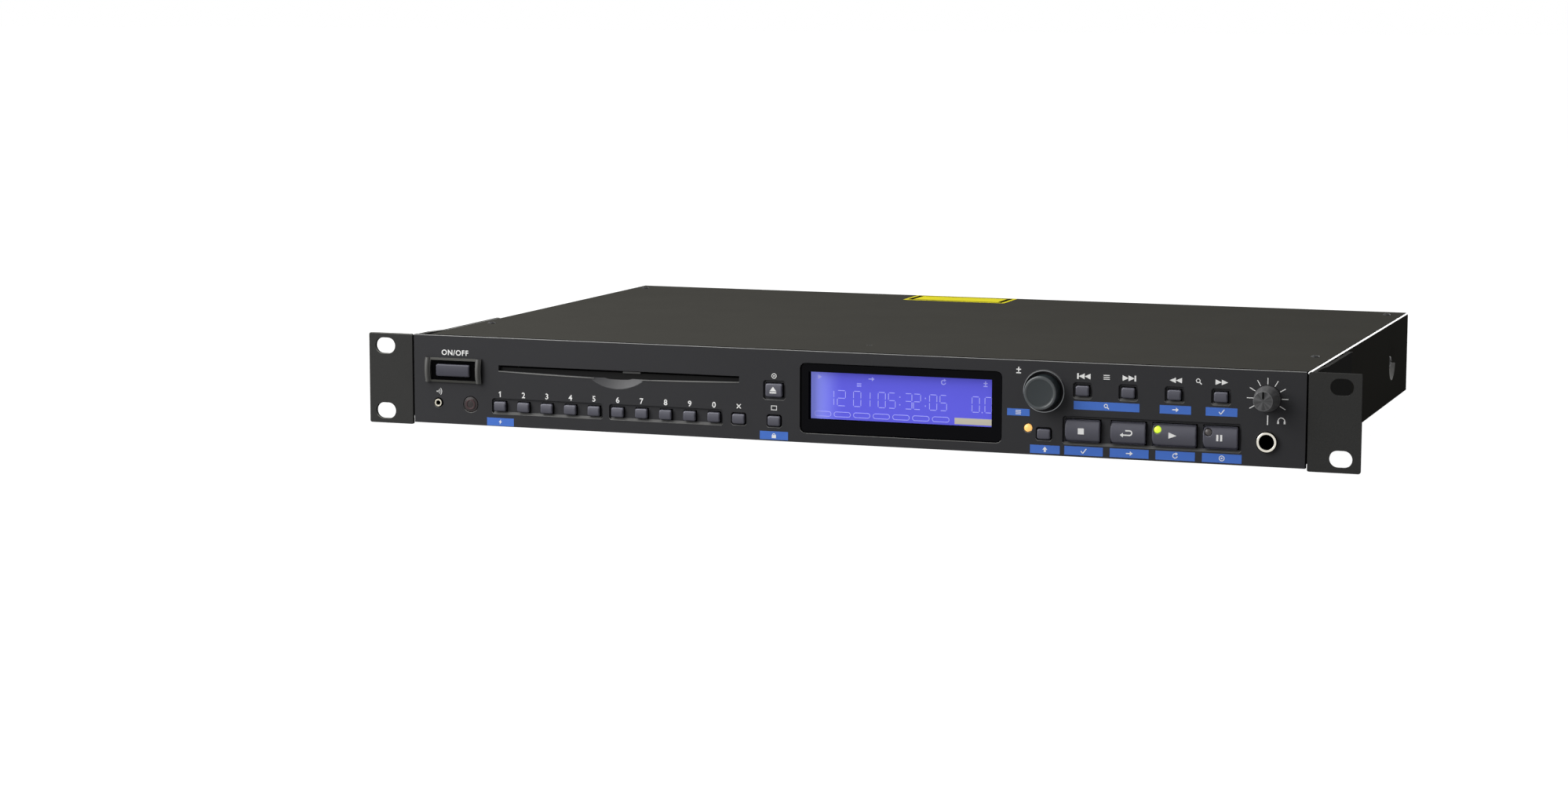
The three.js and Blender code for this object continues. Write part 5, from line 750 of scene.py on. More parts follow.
@dataclass
class Casing:
    """The folded cover, the ears, the rear panel and the screws and labels on them."""

    bench: Bench
    cover_top: float = 42.8
    cover_side: float = 216.4
    cover_bevel: float = 0.2
    fold_radius: float = 1.6
    ear_bevel: float = 0.35
    panel_bevel: float = 0.1
    pan_bevel: float = 0.15
    corner_screws: Points = ((-208, 69), (208, 69), (-208, 272), (208, 272))
    corner_head: float = 2.0
    dish: Triple = (240, 22.4, 9.6)
    dish_depth: float = 1.7
    dish_head: float = 2.9
    dimple: Triple = (0, 46, 1.2)
    dimple_head: float = 2.1
    head: Points = ((0, 1), (0.45, 0.96), (0.8, 0.72), (0.97, 0.3), (1, 0), (0, 0))
    head_rise: float = 0.4
    head_sides: int = 24
    cross: Triple = (1.1, 0.9, 0.26)
    cross_turns: Pair = (20, 110)
    label_size: Pair = (57, 26)
    label_place: Pair = (-23.5, 274)
    label_margin: float = 1.8
    label_rises: Pair = (0.12, 0.16)
    border: Pair = (1.6, 2.8)
    sunk: float = 0.02

    def build(self) -> None:
        """Makes the casing's pieces."""
        bench = self.bench
        self.cover()
        for node in ("left_rack_ear", "right_rack_ear"):
            ear = bench.refined(node, self.ear_bevel)
            # The ears' upward bevels keep a lighter finish, a painted highlight
            bench.lit_edges(ear)
            bench.finished(ear, EAR_PAINT, slot="paint", edge=EAR_EDGE_HIGHLIGHT)
        bench.finished(bench.refined("rear_panel", self.panel_bevel), EAR_PAINT, slot="paint")
        bench.finished(bench.refined("base_pan", self.pan_bevel), ZINC, slot="zinc")
        self.labels()
        for number, (x, y) in enumerate(self.corner_screws):
            self.screw(f"cover_screw_{number}", (x, y, self.cover_top), (0, 0, 1),
                       self.corner_head)
        x, y, depth = self.dimple
        self.screw("dimple_screw", (x, y, self.cover_top - depth), (0, 0, 1), self.dimple_head)
        for side, name in ((-1, "left"), (1, "right")):
            place = (side * (self.cover_side - self.dish_depth), *self.dish[:2])
            self.screw(f"{name}_dish_screw", place, (side, 0, 0), self.dish_head)

    def cover(self) -> None:
        """Makes the cover with its rolled long edges and its pressed dishes, with painted highlight
        and light.
        """
        bench = self.bench
        piece = bench.copied("top_cover")
        bench.soften(piece, self.cover_bevel)
        bench.smooth(piece)
        bench.finished(piece, COVER_PAINT, slot="cover_paint")
        bench.tint(piece, DISH_LIGHT_PAINT, self.in_lit_dish_wall)
        bench.tint(piece, FOLD_HIGHLIGHT_PAINT, self.on_fold_highlight)

    def on_fold_highlight(self, middle: Vector, normal: Vector) -> bool:
        """Tells whether a face is the crest of a rolled top edge of the cover: a painted highlight.
        """
        side, top = self.cover_side - self.fold_radius, self.cover_top - self.fold_radius
        return abs(middle.x) > side and middle.z > top and abs(normal.x) > 0.5 and normal.z > 0.5

    def in_lit_dish_wall(self, middle: Vector, normal: Vector) -> bool:
        """Tells whether a face is the lower wall of a dish in the cover's side: painted light."""
        y, z, radius = self.dish
        pressed = abs(middle.x) > self.cover_side - 2.1 and abs(normal.x) < 0.995
        return pressed and math.hypot(middle.y - y, middle.z - z) < radius and middle.z < z - 1

    def labels(self) -> None:
        """Adds the bare yellow label with its dark inner border."""
        bench, (x, y), (width, depth) = self.bench, self.label_place, self.label_size
        film, ink = self.label_rises
        bench.finished(self.flat("cover_label", x, y, width, depth, film), LABEL)
        long, wide = self.border
        across, along = width - 2 * self.label_margin, depth - 2 * self.label_margin
        rows = [(x, y + side * (along - long) / 2, across, long) for side in (-1, 1)]
        rows += [(x + side * (across - wide) / 2, y, wide, along) for side in (-1, 1)]
        bars = [self.flat("cover_label_border", *row, ink) for row in rows]
        bench.finished(bench.join("cover_label_border", bars), LABEL_INK)

    def flat(self, name: str, x: float, y: float, width: float, depth: float,
             rise: float) -> Piece:
        """Adds a thin sheet with its middle at a place on the cover."""
        middle = (x, y, self.cover_top + rise / 2 - self.sunk)
        return self.bench.block(name, middle, (width, depth, rise))

    def screw(self, name: str, place: Triple, out: Triple, radius: float) -> None:
        """Adds a domed screw head with a cross recess.

        Args:
            name: The piece's name.
            place: The seat's place.
            out: The way the head faces.
            radius: The head's radius.
        """
        bench = self.bench
        height = radius * self.head_rise
        head = bench.turned(name, tuple((radius * r, -height * h) for r, h in self.head), 0, 0,
                            self.head_sides)
        length, depth, width = self.cross
        for turn in self.cross_turns:
            size = (radius * length, height * depth, radius * width)
            bench.carve(head, bench.block("cutter", (0, -height, 0), size, turn))
        swing = Vector((0, -1, 0)).rotation_difference(Vector(out)).to_matrix().to_4x4()
        head.data.transform(Matrix.Translation(bench.at(*place)) @ swing
                            @ Matrix.Translation(-bench.at(0, 0, 0)))
        bench.smooth(head)
        bench.finished(head, SCREW)


@dataclass
class Controls:
    """The fascia moulding and everything that is pressed, turned or plugged on it."""

    bench: Bench
    digits: tuple[str, ...] = tuple(f"key_{digit}" for digit in (1, 2, 3, 4, 5, 6, 7, 8, 9, 0))
    small: tuple[str, ...] = ("clear_key", "eject_key", "display_key", "shift_key",
                              "skip_back_key", "skip_forward_key", "search_back_key",
                              "search_forward_key")
    large: tuple[str, ...] = ("stop_key", "call_key", "play_key", "pause_key")
    cap_bevel: float = 0.3
    small_sag: float = 0.4
    large_sag: float = 1.5
    power_sag: float = 0.25
    bezel_bow: tuple[float, int, float] = (1.0, 8, 2.0)
    gap_depth: float = 0.25
    hole_depths: Pair = (1.1, 3.1)
    fascia_edges: Triple = (44.0, 1.1, 0.7)
    fascia_bevel: float = 0.22
    slot_left: float = -172.1
    slot_right: float = -48.7
    slot_floor: float = 26.8
    slot_bow: float = 1.2
    slot_steps: int = 24
    scoop: Quad = (-123.9, -96.9, 21.4, 27.4)
    scoop_reach: float = 1.6
    lip_height: float = 0.4
    lip_depths: Pair = (-0.22, 0.05)
    lip_edge: float = 0.12
    curtain: Triple = (1.2, 3.4, 2)
    curtain_depths: Pair = (1.9, 2.6)
    felt: Quad = (-103.5, 29.9, 9.0, 0.9)
    felt_depths: Pair = (1.2, 2.4)
    recesses: tuple[Triple, ...] = (
        (-174.9, -118.8, 7.26), (-113.8, -57.6, 7.26), (107.6, 188.1, 6.81),
        (111.9, 120.5, 27.61), (132.9, 141.5, 27.61), (153.9, 162.5, 27.61),
        (174.9, 183.5, 27.61))
    slope_rise: float = 0.95
    slope_depths: Pair = (0.03, 0.97)
    window: Quad = (30.1, 21.95, 97.2, 32.7)
    window_radii: Pair = (4.5, 2.6)
    bay: Quad = (-195.65, 27.3, 11.9, 4.8)
    sensor_radius: float = 3.1
    sensor_profile: Points = ((0.56, 0.02), (0.6, -0.03), (0.78, -0.03), (0.82, 0.02))
    dial: Pair = (98.3, 30.2)
    dial_profile: Points = (
        (0, -7.0), (5.6, -7.05), (6.3, -7.3), (6.75, -7.5), (7.2, -7.45), (7.5, -7.2),
        (7.66, -6.8), (7.7, 0.9), (3.3, 0.9), (3.3, -4.8), (0, -4.8))
    well_profile: Points = ((9.2, -0.45), (9.3, -0.6), (9.5, -0.6), (9.62, -0.4),
                             (9.65, -0.01), (9.15, -0.01))
    dial_rim: Pair = (6.2, -6.7)
    dial_sides: int = 96
    level: Pair = (199.9, 31.5)
    knob_profile: Points = (
        (0, -10.4), (4.1, -10.4), (4.33, -10.28), (4.42, -10.0), (4.7, -6.0), (5.3, -3.0),
        (5.65, -2.4), (5.8, -2.0), (5.8, -0.4), (2.2, -0.4), (2.2, 7.9), (0, 7.9))
    pointer: Triple = (2.55, 0.7, 3.2)
    pointer_depths: Pair = (-10.46, -10.2)
    ring_sides: int = 72
    phones: Pair = (200.0, 12.2)
    phones_profile: Points = (
        (3.15, -0.6), (3.22, -1.0), (3.45, -1.3), (3.8, -1.4), (4.3, -1.36), (4.62, -1.12),
        (4.8, -0.7), (4.86, -0.3), (4.86, -0.02), (3.15, -0.02))
    remote: Pair = (-204.1, 11.2)
    remote_profile: Points = ((1.1, -0.4), (1.25, -0.6), (1.75, -0.6), (1.95, -0.4),
                               (1.95, -0.02), (1.1, -0.02))

    def build(self) -> None:
        """Makes the fascia and the controls."""
        bench = self.bench
        self.fascia()
        for node in self.digits + self.small + self.large:
            key = self.cap(node, self.large_sag if node in self.large else self.small_sag)
            with bench.editing(key):
                bpy.ops.mesh.bisect(plane_co=bench.at(0, self.gap_depth, 0), plane_no=(0, 1, 0))
            bench.smooth(key)
            # Caps: a painted highlight on the upward bevels, and painted shade on the parts behind
            # the gap
            bench.finished(key, KEY_ABS, node + "_body", "key_plastic", KEY_EDGE_HIGHLIGHT)
            bench.tint(key, GAP_PAINTED_SHADE, lambda middle, normal: middle.y > self.gap_depth)
        self.power()
        self.sensor()
        for node, finish, slot in (("play_lamp", LIME, "lime"), ("pause_lamp", UMBER, "umber"),
                                   ("shift_lamp", AMBER, "amber")):
            bench.finished(bench.refined(node, 0), finish, slot=slot)
        self.disc_slot()
        self.recess_slopes()
        self.pitch_dial()
        self.level_knob()
        self.sockets()

    def cap(self, node: str, sag: float) -> Piece:
        """Makes a key's cap, with fine edges and a front that is rounded by a sag."""
        key = self.bench.refined(node, self.cap_bevel, 3)
        self.bench.lit_edges(key)
        self.bench.crown(key, sag)
        return key

    def fascia(self) -> None:
        """Makes the fascia: crisp edges with painted highlights, a scoop and key holes in painted
        shade.
        """
        bench = self.bench
        piece = bench.copied("front_panel")
        piece.data.materials.append(None)
        self.square_edges(piece)
        self.tighten_corners(piece)
        bench.round_edges(piece, self.fascia_bevel, 2, lambda run, middle: abs(middle.y) < 0.02,
                          material=1)
        bench.lit_edges(piece)
        bench.smooth(piece)
        bench.finished(piece, FASCIA_ABS, slot="moulding", edge=RECESS_EDGE_HIGHLIGHT)
        bench.tint(piece, FASCIA_EDGE_HIGHLIGHT, self.on_top_edge)
        bench.tint(piece, SCOOP_HIGHLIGHT_ABS, self.in_scoop)
        bench.tint(piece, GAP_PAINTED_SHADE, self.in_gap)

    def power(self) -> None:
        """Makes the power key and its bezel with the bowed cheeks, with painted highlights and
        shade.
        """
        bench = self.bench
        key = self.cap("power_key", self.power_sag)
        bench.smooth(key)
        # The power key's upward bevels take the lighter key moulding: a painted highlight
        bench.finished(key, POWER_ABS, "power_key_body", "key_plastic", KEY_ABS)
        bezel = bench.refined("power_key_bezel", self.cap_bevel, 3)
        bench.crown(bezel, *self.bezel_bow)
        bench.smooth(bezel)
        bench.finished(bezel, BLACK_ABS, slot="black_plastic", edge=BLACK_EDGE_HIGHLIGHT)
        bench.tint(bezel, RAIL_HIGHLIGHT_ABS, self.on_rail)
        bench.tint(bezel, CHEEK_HIGHLIGHT_ABS, self.on_cheek)
        bench.tint(bezel, GAP_PAINTED_SHADE, self.in_bay)

    def sensor(self) -> None:
        """Makes the sensor's round window with the rim of the lens behind it."""
        bench = self.bench
        low, high = (bench.mm(corner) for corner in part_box("sensor_window"))
        bench.finished(bench.refined("sensor_window", 0), SENSOR_RED, slot="sensor")
        profile = tuple((share * self.sensor_radius, low.y + y) for share, y in self.sensor_profile)
        rim = bench.turned("sensor_rim", profile, (low.x + high.x) / 2, (low.z + high.z) / 2)
        bench.finished(rim, SENSOR_RIM)

    def square_edges(self, fascia: Piece) -> None:
        """Draws the fascia's long chamfers out to crisp edges, which the bevel then softens."""
        top, bottom, chamfer = self.fascia_edges
        for vertex in fascia.data.vertices:
            place = self.bench.mm(vertex.co)
            for edge, way in ((top, -1), (bottom, 1)):
                if abs(place.y) < 0.01 and abs(place.z - edge - way * chamfer) < 0.01:
                    vertex.co.z = edge * MM

    def tighten_corners(self, fascia: Piece) -> None:
        """Draws the display window's four round corners in to a smaller radius."""
        x, z, width, height = self.window
        was, now = self.window_radii
        for vertex in fascia.data.vertices:
            place = self.bench.mm(vertex.co)
            across, up = math.copysign(1, place.x - x), math.copysign(1, place.z - z)
            turn = Vector((place.x - x - across * (width / 2 - was),
                           place.z - z - up * (height / 2 - was)))
            outward = turn.x * across > -0.01 and turn.y * up > -0.01
            if outward and abs(turn.length - was) < 0.02:
                turn *= now / was
                vertex.co = self.bench.at(x + across * (width / 2 - now) + turn.x, place.y,
                                          z + up * (height / 2 - now) + turn.y)

    def on_top_edge(self, middle: Vector, normal: Vector) -> bool:
        """Tells whether a face is on the upper edge's bevel, where light falls: a painted highlight.
        """
        return middle.z > self.fascia_edges[0] - 0.5 and normal.z > 0.2 and normal.y < -0.2

    def in_gap(self, middle: Vector, normal: Vector) -> bool:
        """Tells whether a face of the fascia is the wall of a key's hole: painted shade."""
        front, back = self.hole_depths
        in_slot = self.slot_left - 1 < middle.x < self.slot_right + 1 and middle.z > 20
        return front < middle.y < back and abs(normal.y) < 0.2 and not in_slot

    def in_scoop(self, middle: Vector, normal: Vector) -> bool:
        """Tells whether a face of the fascia belongs to the finger scoop, which is painted lighter.
        """
        left, right, low, high = self.scoop
        inside = left < middle.x < right and low < middle.z < high
        return inside and -0.995 < normal.y < -0.05 and normal.z > 0.02

    def on_cheek(self, middle: Vector, normal: Vector) -> bool:
        """Tells whether a face of the power key's bezel is the bowed front of a cheek: a painted
        highlight.
        """
        return abs(middle.x - self.bay[0]) > self.bay[2] and self.on_rail(middle, normal)

    def on_rail(self, middle: Vector, normal: Vector) -> bool:
        """Tells whether a face of the power key's bezel is a cheek's or a rail's front: painted
        highlight.
        """
        x, z, half, rail = self.bay
        around = abs(middle.x - x) > half or abs(middle.z - z) > rail
        return around and middle.y < -0.3 and normal.y < -0.05 and abs(normal.z) < 0.5

    def in_bay(self, middle: Vector, normal: Vector) -> bool:
        """Tells whether a face of the power key's bezel is in the bay round the key: painted shade.
        """
        x, z, half, rail = self.bay
        return abs(middle.x - x) < half and abs(middle.z - z) < rail and middle.y > -2.4

    def slot_edge(self, x: float) -> float:
        """Gives the height of the disc slot's bowed lower edge."""
        middle = (self.slot_left + self.slot_right) / 2
        share = (x - middle) / (self.slot_right - middle)
        return self.slot_floor + self.slot_bow * share * share

    def disc_slot(self) -> None:
        """Makes the lip under the disc slot, in a painted highlight, and the felt that shows inside
        it.
        """
        bench = self.bench
        lips = []
        for left, right in ((self.slot_left, self.scoop[0] + self.scoop_reach),
                            (self.scoop[1] - self.scoop_reach, self.slot_right)):
            across = [left + (right - left) * step / self.slot_steps
                      for step in range(self.slot_steps + 1)]
            upper = [(x, self.slot_edge(x)) for x in across]
            lower = [(x, z - self.lip_height) for x, z in reversed(upper)]
            lip = bench.sheet("slot_lip", [upper + lower], self.lip_depths)
            bench.soften(lip, self.lip_edge)
            bench.smooth(lip)
            lips.append(lip)
        bench.finished(bench.join("slot_lip", lips), RECESS_EDGE_HIGHLIGHT)
        rise, height, longer = self.curtain
        area = ((self.slot_left + self.slot_right) / 2, self.slot_floor + rise,
                self.slot_right - self.slot_left + longer, height)
        bench.finished(bench.plate("slot_curtain", area, self.curtain_depths, edge=0.2), FELT)
        felt = bench.plate("slot_felt", self.felt, self.felt_depths, corner=0.3, edge=0.1)
        bench.finished(felt, SLOPE_HIGHLIGHT_ABS)

    def recess_slopes(self) -> None:
        """Makes the sloped lower sides of the key recesses, in a painted highlight."""
        bench, rise, back = self.bench, self.slope_rise, self.slope_depths[1]
        slopes = []
        for left, right, low in self.recesses:
            middle = low + rise / 2
            slope = bench.plate("recess_slope", ((left + right) / 2, middle, right - left, rise),
                                self.slope_depths)
            for vertex in slope.data.vertices:
                place = bench.mm(vertex.co)
                if place.z > middle and place.y < back / 2:
                    vertex.co = bench.at(place.x, back, place.z)
            bench.fix_normals(slope)
            slopes.append(slope)
        bench.finished(bench.join("recess_slopes", slopes), SLOPE_HIGHLIGHT_ABS)

    def pitch_dial(self) -> None:
        """Makes the pitch dial's cup with a painted highlight on its rim, and the bright ring round
        its well.
        """
        bench, (x, z) = self.bench, self.dial
        dial = bench.turned("pitch_dial_fine", self.dial_profile, x, z, self.dial_sides)
        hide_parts("pitch_dial")
        bench.finished(dial, DIAL_ABS, "pitch_dial_body", "black_plastic")
        radius, front = self.dial_rim
        bench.tint(dial, DIAL_EDGE_HIGHLIGHT, lambda middle, normal: middle.y < front
                   and math.hypot(middle.x - x, middle.z - z) > radius)
        ring = bench.turned("dial_well_ring", self.well_profile, x, z, self.dial_sides)
        bench.finished(ring, STEEL)

    def level_knob(self) -> None:
        """Makes the level knob: spun face with painted spokes, side in painted highlight, groove in
        painted shade.
        """
        bench, (x, z) = self.bench, self.level
        knob = bench.turned("level_knob_fine", self.knob_profile, x, z, self.ring_sides)
        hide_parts("level_knob")
        bench.finished(knob, KNOB_SIDE_HIGHLIGHT, "level_knob_body", "knob_metal")
        bench.tint(knob, KNOB_PAINTED_SPOKES, lambda middle, normal: normal.y < -0.9 and middle.y < -9)
        rise, width, height = self.pointer
        groove = bench.plate("level_pointer", (x, z + rise, width, height), self.pointer_depths,
                             corner=0.2, edge=0.05)
        bench.finished(groove, KNOB_GROOVE_SHADE, "level_knob_body")

    def sockets(self) -> None:
        """Makes the headphone jack's and remote socket's bright rings, with painted shade behind
        them.
        """
        bench = self.bench
        for node, finish, (x, z), profile in (
                ("headphone_jack", NICKEL, self.phones, self.phones_profile),
                ("remote_jack", CREAM, self.remote, self.remote_profile)):
            bench.finished(bench.refined(node, 0), GAP_PAINTED_SHADE, slot="nickel")
            bench.finished(bench.turned(node + "_ring", profile, x, z, self.ring_sides), finish)


def bar(x: float, z: float, width: float, height: float) -> list[Outline]:
    """Gives an upright rectangle."""
    return [[(x + across * width / 2, z + up * height / 2)
             for across, up in ((-1, -1), (1, -1), (1, 1), (-1, 1))]]


def wedge(x: float, z: float, width: float, height: float) -> list[Outline]:
    """Gives a triangle that points right, or left where its width is negative."""
    return [[(x - width / 2, z - height / 2), (x + width / 2, z), (x - width / 2, z + height / 2)]]


def peak(x: float, z: float, width: float, height: float) -> list[Outline]:
    """Gives a triangle that points up."""
    return [[(x - width / 2, z - height / 2), (x + width / 2, z - height / 2), (x, z + height / 2)]]


def stroke(path: Points, thick: float) -> list[Outline]:
    """Gives a rectangle along each stretch of a path.

    Args:
        path: The points that the path joins.
        thick: The stroke's width.

    Returns:
        The rectangles' outlines.
    """
    made = []
    for (x0, z0), (x1, z1) in zip(path, path[1:]):
        share = thick / 2 / math.hypot(x1 - x0, z1 - z0)
        ox, oz = (z0 - z1) * share, (x1 - x0) * share
        made.append([(x0 - ox, z0 - oz), (x1 - ox, z1 - oz),
                     (x1 + ox, z1 + oz), (x0 + ox, z0 + oz)])
    return made


def band(x: float, z: float, radius: float, thick: float, start: float = 0, end: float = 360,
         steps: int = 20) -> list[Outline]:
    """Gives a curved band, anticlockwise from the right.

    Args:
        x: The middle's place across.
        z: The middle's height.
        radius: The radius of the band's middle line.
        thick: The band's width.
        start: The angle at which it begins, in degrees.
        end: The angle at which it ends.
        steps: The number of stretches.

    Returns:
        The stretches' outlines.
    """
    def spot(r: float, step: int) -> Pair:
        """Gives a point of the band at a radius."""
        angle = math.radians(start + (end - start) * step / steps)
        return x + r * math.cos(angle), z + r * math.sin(angle)

    inner, outer = radius - thick / 2, radius + thick / 2
    return [[spot(inner, at), spot(outer, at), spot(outer, at + 1), spot(inner, at + 1)]
            for at in range(steps)]


def frame(x: float, z: float, width: float, height: float, thick: float) -> list[Outline]:
    """Gives a thin outline with round ends.

    Args:
        x: The middle's place across.
        z: The middle's height.
        width: The size across.
        height: The size upwards.
        thick: The line's width.

    Returns:
        The line's outlines.
    """
    radius, flat = (height - thick) / 2, width - height
    return [*bar(x, z - radius, flat, thick), *bar(x, z + radius, flat, thick),
            *band(x - flat / 2, z, radius, thick, 90, 270, 8),
            *band(x + flat / 2, z, radius, thick, -90, 90, 8)]


class Sign(Enum):
    """Small generic signs about their middles, in millimetres or in shares of a size."""

    SKIP = bar(2.728, 0, 0.744, 2.6) + wedge(-1.736, 0, 2.728, 2.6) + wedge(0.992, 0, 2.728, 2.6)
    SEARCH = wedge(-1.4, 0, 2.8, 2.4) + wedge(1.4, 0, 2.8, 2.4)
    EJECT = peak(0, 0.496, 3.3, 2.108) + bar(0, -1.24, 3.3, 0.62)
    STOP = bar(0, 0, 2.8, 2.7)
    PLAY = wedge(0, 0, 3.6, 2.8)
    PAUSE = bar(-0.85, 0, 0.95, 2.8) + bar(0.85, 0, 0.95, 2.8)
    POINTER = wedge(0, 0, 2.0, 2.2)
    BACK_ARROW = (wedge(-0.85, -0.28, -0.5, 0.72) + bar(-0.08, -0.28, 1.04, 0.2)
                  + bar(0.1, 0.42, 0.68, 0.2) + band(0.44, 0.07, 0.35, 0.2, -90, 90))
    HEADPHONES = (band(0, -0.1, 0.5, 0.13, 0, 180) + bar(-0.48, -0.3, 0.26, 0.4)
                  + bar(0.48, -0.3, 0.26, 0.4))
    WAVES = (bar(-0.6, 0, 0.22, 0.22) + band(-0.6, 0, 0.36, 0.13, -40, 40, 8)
             + band(-0.6, 0, 0.72, 0.13, -40, 40, 8) + band(-0.6, 0, 1.08, 0.13, -40, 40, 8))
    LOOP = band(0, 0, 0.38, 0.15, 60, 350) + wedge(0.3, 0.36, 0.4, 0.5)
    MENU = bar(0, -0.36, 1.2, 0.15) + bar(0, 0, 1.2, 0.15) + bar(0, 0.36, 1.2, 0.15)
    LOCK = bar(0, -0.2, 0.8, 0.55) + band(0, 0.1, 0.24, 0.13, 0, 180)
    BOLT = [[(0.14, 0.5), (-0.34, -0.08), (-0.04, -0.08), (-0.14, -0.5), (0.34, 0.1), (0.04, 0.1)]]
    TICK = stroke(((-0.45, 0), (-0.12, -0.4), (0.5, 0.42)), 0.16)
    CROSS = stroke(((-0.4, 0.4), (0.4, -0.4)), 0.17) + stroke(((-0.4, -0.4), (0.4, 0.4)), 0.17)
    LENS = band(-0.1, 0.1, 0.3, 0.13) + stroke(((0.13, -0.13), (0.46, -0.46)), 0.17)
    ARROW = bar(-0.2, 0, 0.7, 0.18) + wedge(0.38, 0, 0.5, 0.8)
    RAISED = peak(0, 0.22, 0.95, 0.56) + bar(0, -0.27, 0.36, 0.4)
    WHEEL = band(0, 0, 0.42, 0.13) + bar(0, 0, 0.26, 0.26)
    PLUS_MINUS = (bar(0, -0.42, 0.8, 0.17) + bar(0, 0.15, 0.8, 0.17)
                  + bar(0, -0.0925, 0.17, 0.315) + bar(0, 0.3925, 0.17, 0.315))
    HATCH = (bar(0, -0.43, 1.3, 0.14) + bar(0, 0.43, 1.3, 0.14) + bar(-0.58, 0, 0.14, 0.72)
             + bar(0.58, 0, 0.14, 0.72))

    def at(self, x: float, z: float, size: float = 1.0, way: int = 1) -> list[Outline]:
        """Gives the sign's outlines about a place, mirrored where way is -1."""
        return [[(x + way * size * across, z + size * up) for across, up in outline]
                for outline in self.value]


@dataclass
class Display:
    """The window, and the back-lit screen behind it with the figures that it shows."""

    bench: Bench
    window: Quad = (30.1, 21.95, 96.6, 32.1)
    window_corner: float = 2.4
    window_edge: float = 0.2
    window_depths: Pair = (0.7, 4.2)
    hole_depths: Pair = (-2, 8)
    screen: Quad = (29.6, 23.2, 88.2, 22.2)
    screen_hidden: float = 4.0
    screen_back: float = 8.9
    front: float = 4.6
    drawn_depths: Pair = (-0.12, 0.05)
    light_depths: Pair = (-0.1, 0.05)
    figure_floor: float = 18.5
    figure_height: float = 7.1
    line: float = 0.31
    line_gap: float = 0.35
    figures: tuple[tuple[float, float, str], ...] = (
        (-6.9, 3.5, "1"), (-1.7, 4.0, "2"), (6.2, 3.6, "0"), (10.7, 3.6, "1"), (18.2, 3.5, "0"),
        (23.2, 3.3, "5"), (31.2, 3.3, "3"), (35.3, 3.4, "2"), (43.0, 3.5, "0"), (48.0, 3.2, "5"),
        (63.3, 3.5, "0"), (69.4, 3.3, "0"))
    dots: tuple[tuple[float, float], ...] = ((28.7, 0.25), (28.7, 0.75), (41.0, 0.25),
                                             (41.0, 0.75), (68.1, 0))
    dot_size: float = 0.5
    signs: tuple[tuple[Sign, float, float, float], ...] = (
        (Sign.POINTER, -10.2, 31.6, 1), (Sign.ARROW, 14.8, 31.6, 2.4),
        (Sign.LOOP, 49.6, 31.6, 2.6), (Sign.PLUS_MINUS, 69.6, 31.6, 2.4),
        (Sign.MENU, 8.9, 28.6, 1.8))
    box_first: float = -8.8
    box_pitch: float = 9.53
    box_size: Triple = (8.3, 2.5, 0.27)
    box_height: float = 14.4
    boxes: int = 7
    light: Quad = (64.3, 14.1, 18.6, 2.9)

    def build(self) -> None:
        """Makes the mask, the screen and what the screen shows."""
        bench, (x, z, width, height) = self.bench, self.screen
        mask = bench.plate("display_window_fine", self.window, self.window_depths,
                           self.window_corner, self.window_edge)
        bench.carve(mask, bench.plate("hole", self.screen, self.hole_depths))
        bench.smooth(mask)
        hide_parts("display_window")
        bench.finished(mask, SMOKED, slot="pane")
        # The mask's inner walls take painted shade
        bench.tint(mask, GAP_PAINTED_SHADE, lambda middle, normal: middle.y > 0.9 and abs(normal.y) < 0.2)
        area = (x, z, width + self.screen_hidden, height + self.screen_hidden)
        glass = bench.plate("display_module_fine", area, (self.front, self.screen_back))
        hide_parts("display_module")
        bench.finished(glass, SCREEN, slot="screen")
        shown = bench.sheet("screen_figures", self.lit(), shifted(self.drawn_depths, self.front))
        bench.finished(shown, SEGMENT)
        light = bench.plate("screen_bar", self.light, shifted(self.light_depths, self.front))
        bench.finished(light, BEIGE)

    def lit(self) -> list[Outline]:
        """Gives the outlines of all that the screen shows."""
        made = [outline for place in self.figures for outline in self.segments(*place)]
        for x, share in self.dots:
            made += bar(x, self.figure_floor + self.figure_height * share, self.dot_size,
                        self.dot_size)
        for sign, x, z, size in self.signs:
            made += sign.at(x, z, size)
        for place in range(self.boxes):
            made += frame(self.box_first + place * self.box_pitch, self.box_height, *self.box_size)
        return made

    def segments(self, left: float, width: float, figure: str) -> list[Outline]:
        """Gives the lit strokes of a seven-stroke figure.

        Args:
            left: The figure's left edge.
            width: Its width.
            figure: The figure.

        Returns:
            The strokes' outlines.
        """
        gap, right, low = self.line_gap, left + width, self.figure_floor
        middle, high = low + self.figure_height / 2, low + self.figure_height
        runs = {
            "a": ((left + gap, high), (right - gap, high)),
            "b": ((right, middle + gap), (right, high - gap)),
            "c": ((right, low + gap), (right, middle - gap)),
            "d": ((left + gap, low), (right - gap, low)),
            "e": ((left, low + gap), (left, middle - gap)),
            "f": ((left, middle + gap), (left, high - gap)),
            "g": ((left + gap, middle), (right - gap, middle)),
        }
        lit = {"0": "abcdef", "1": "bc", "2": "abged", "3": "abgcd", "5": "afgcd"}
        return [outline for name in lit[figure] for outline in stroke(runs[name], self.line)]


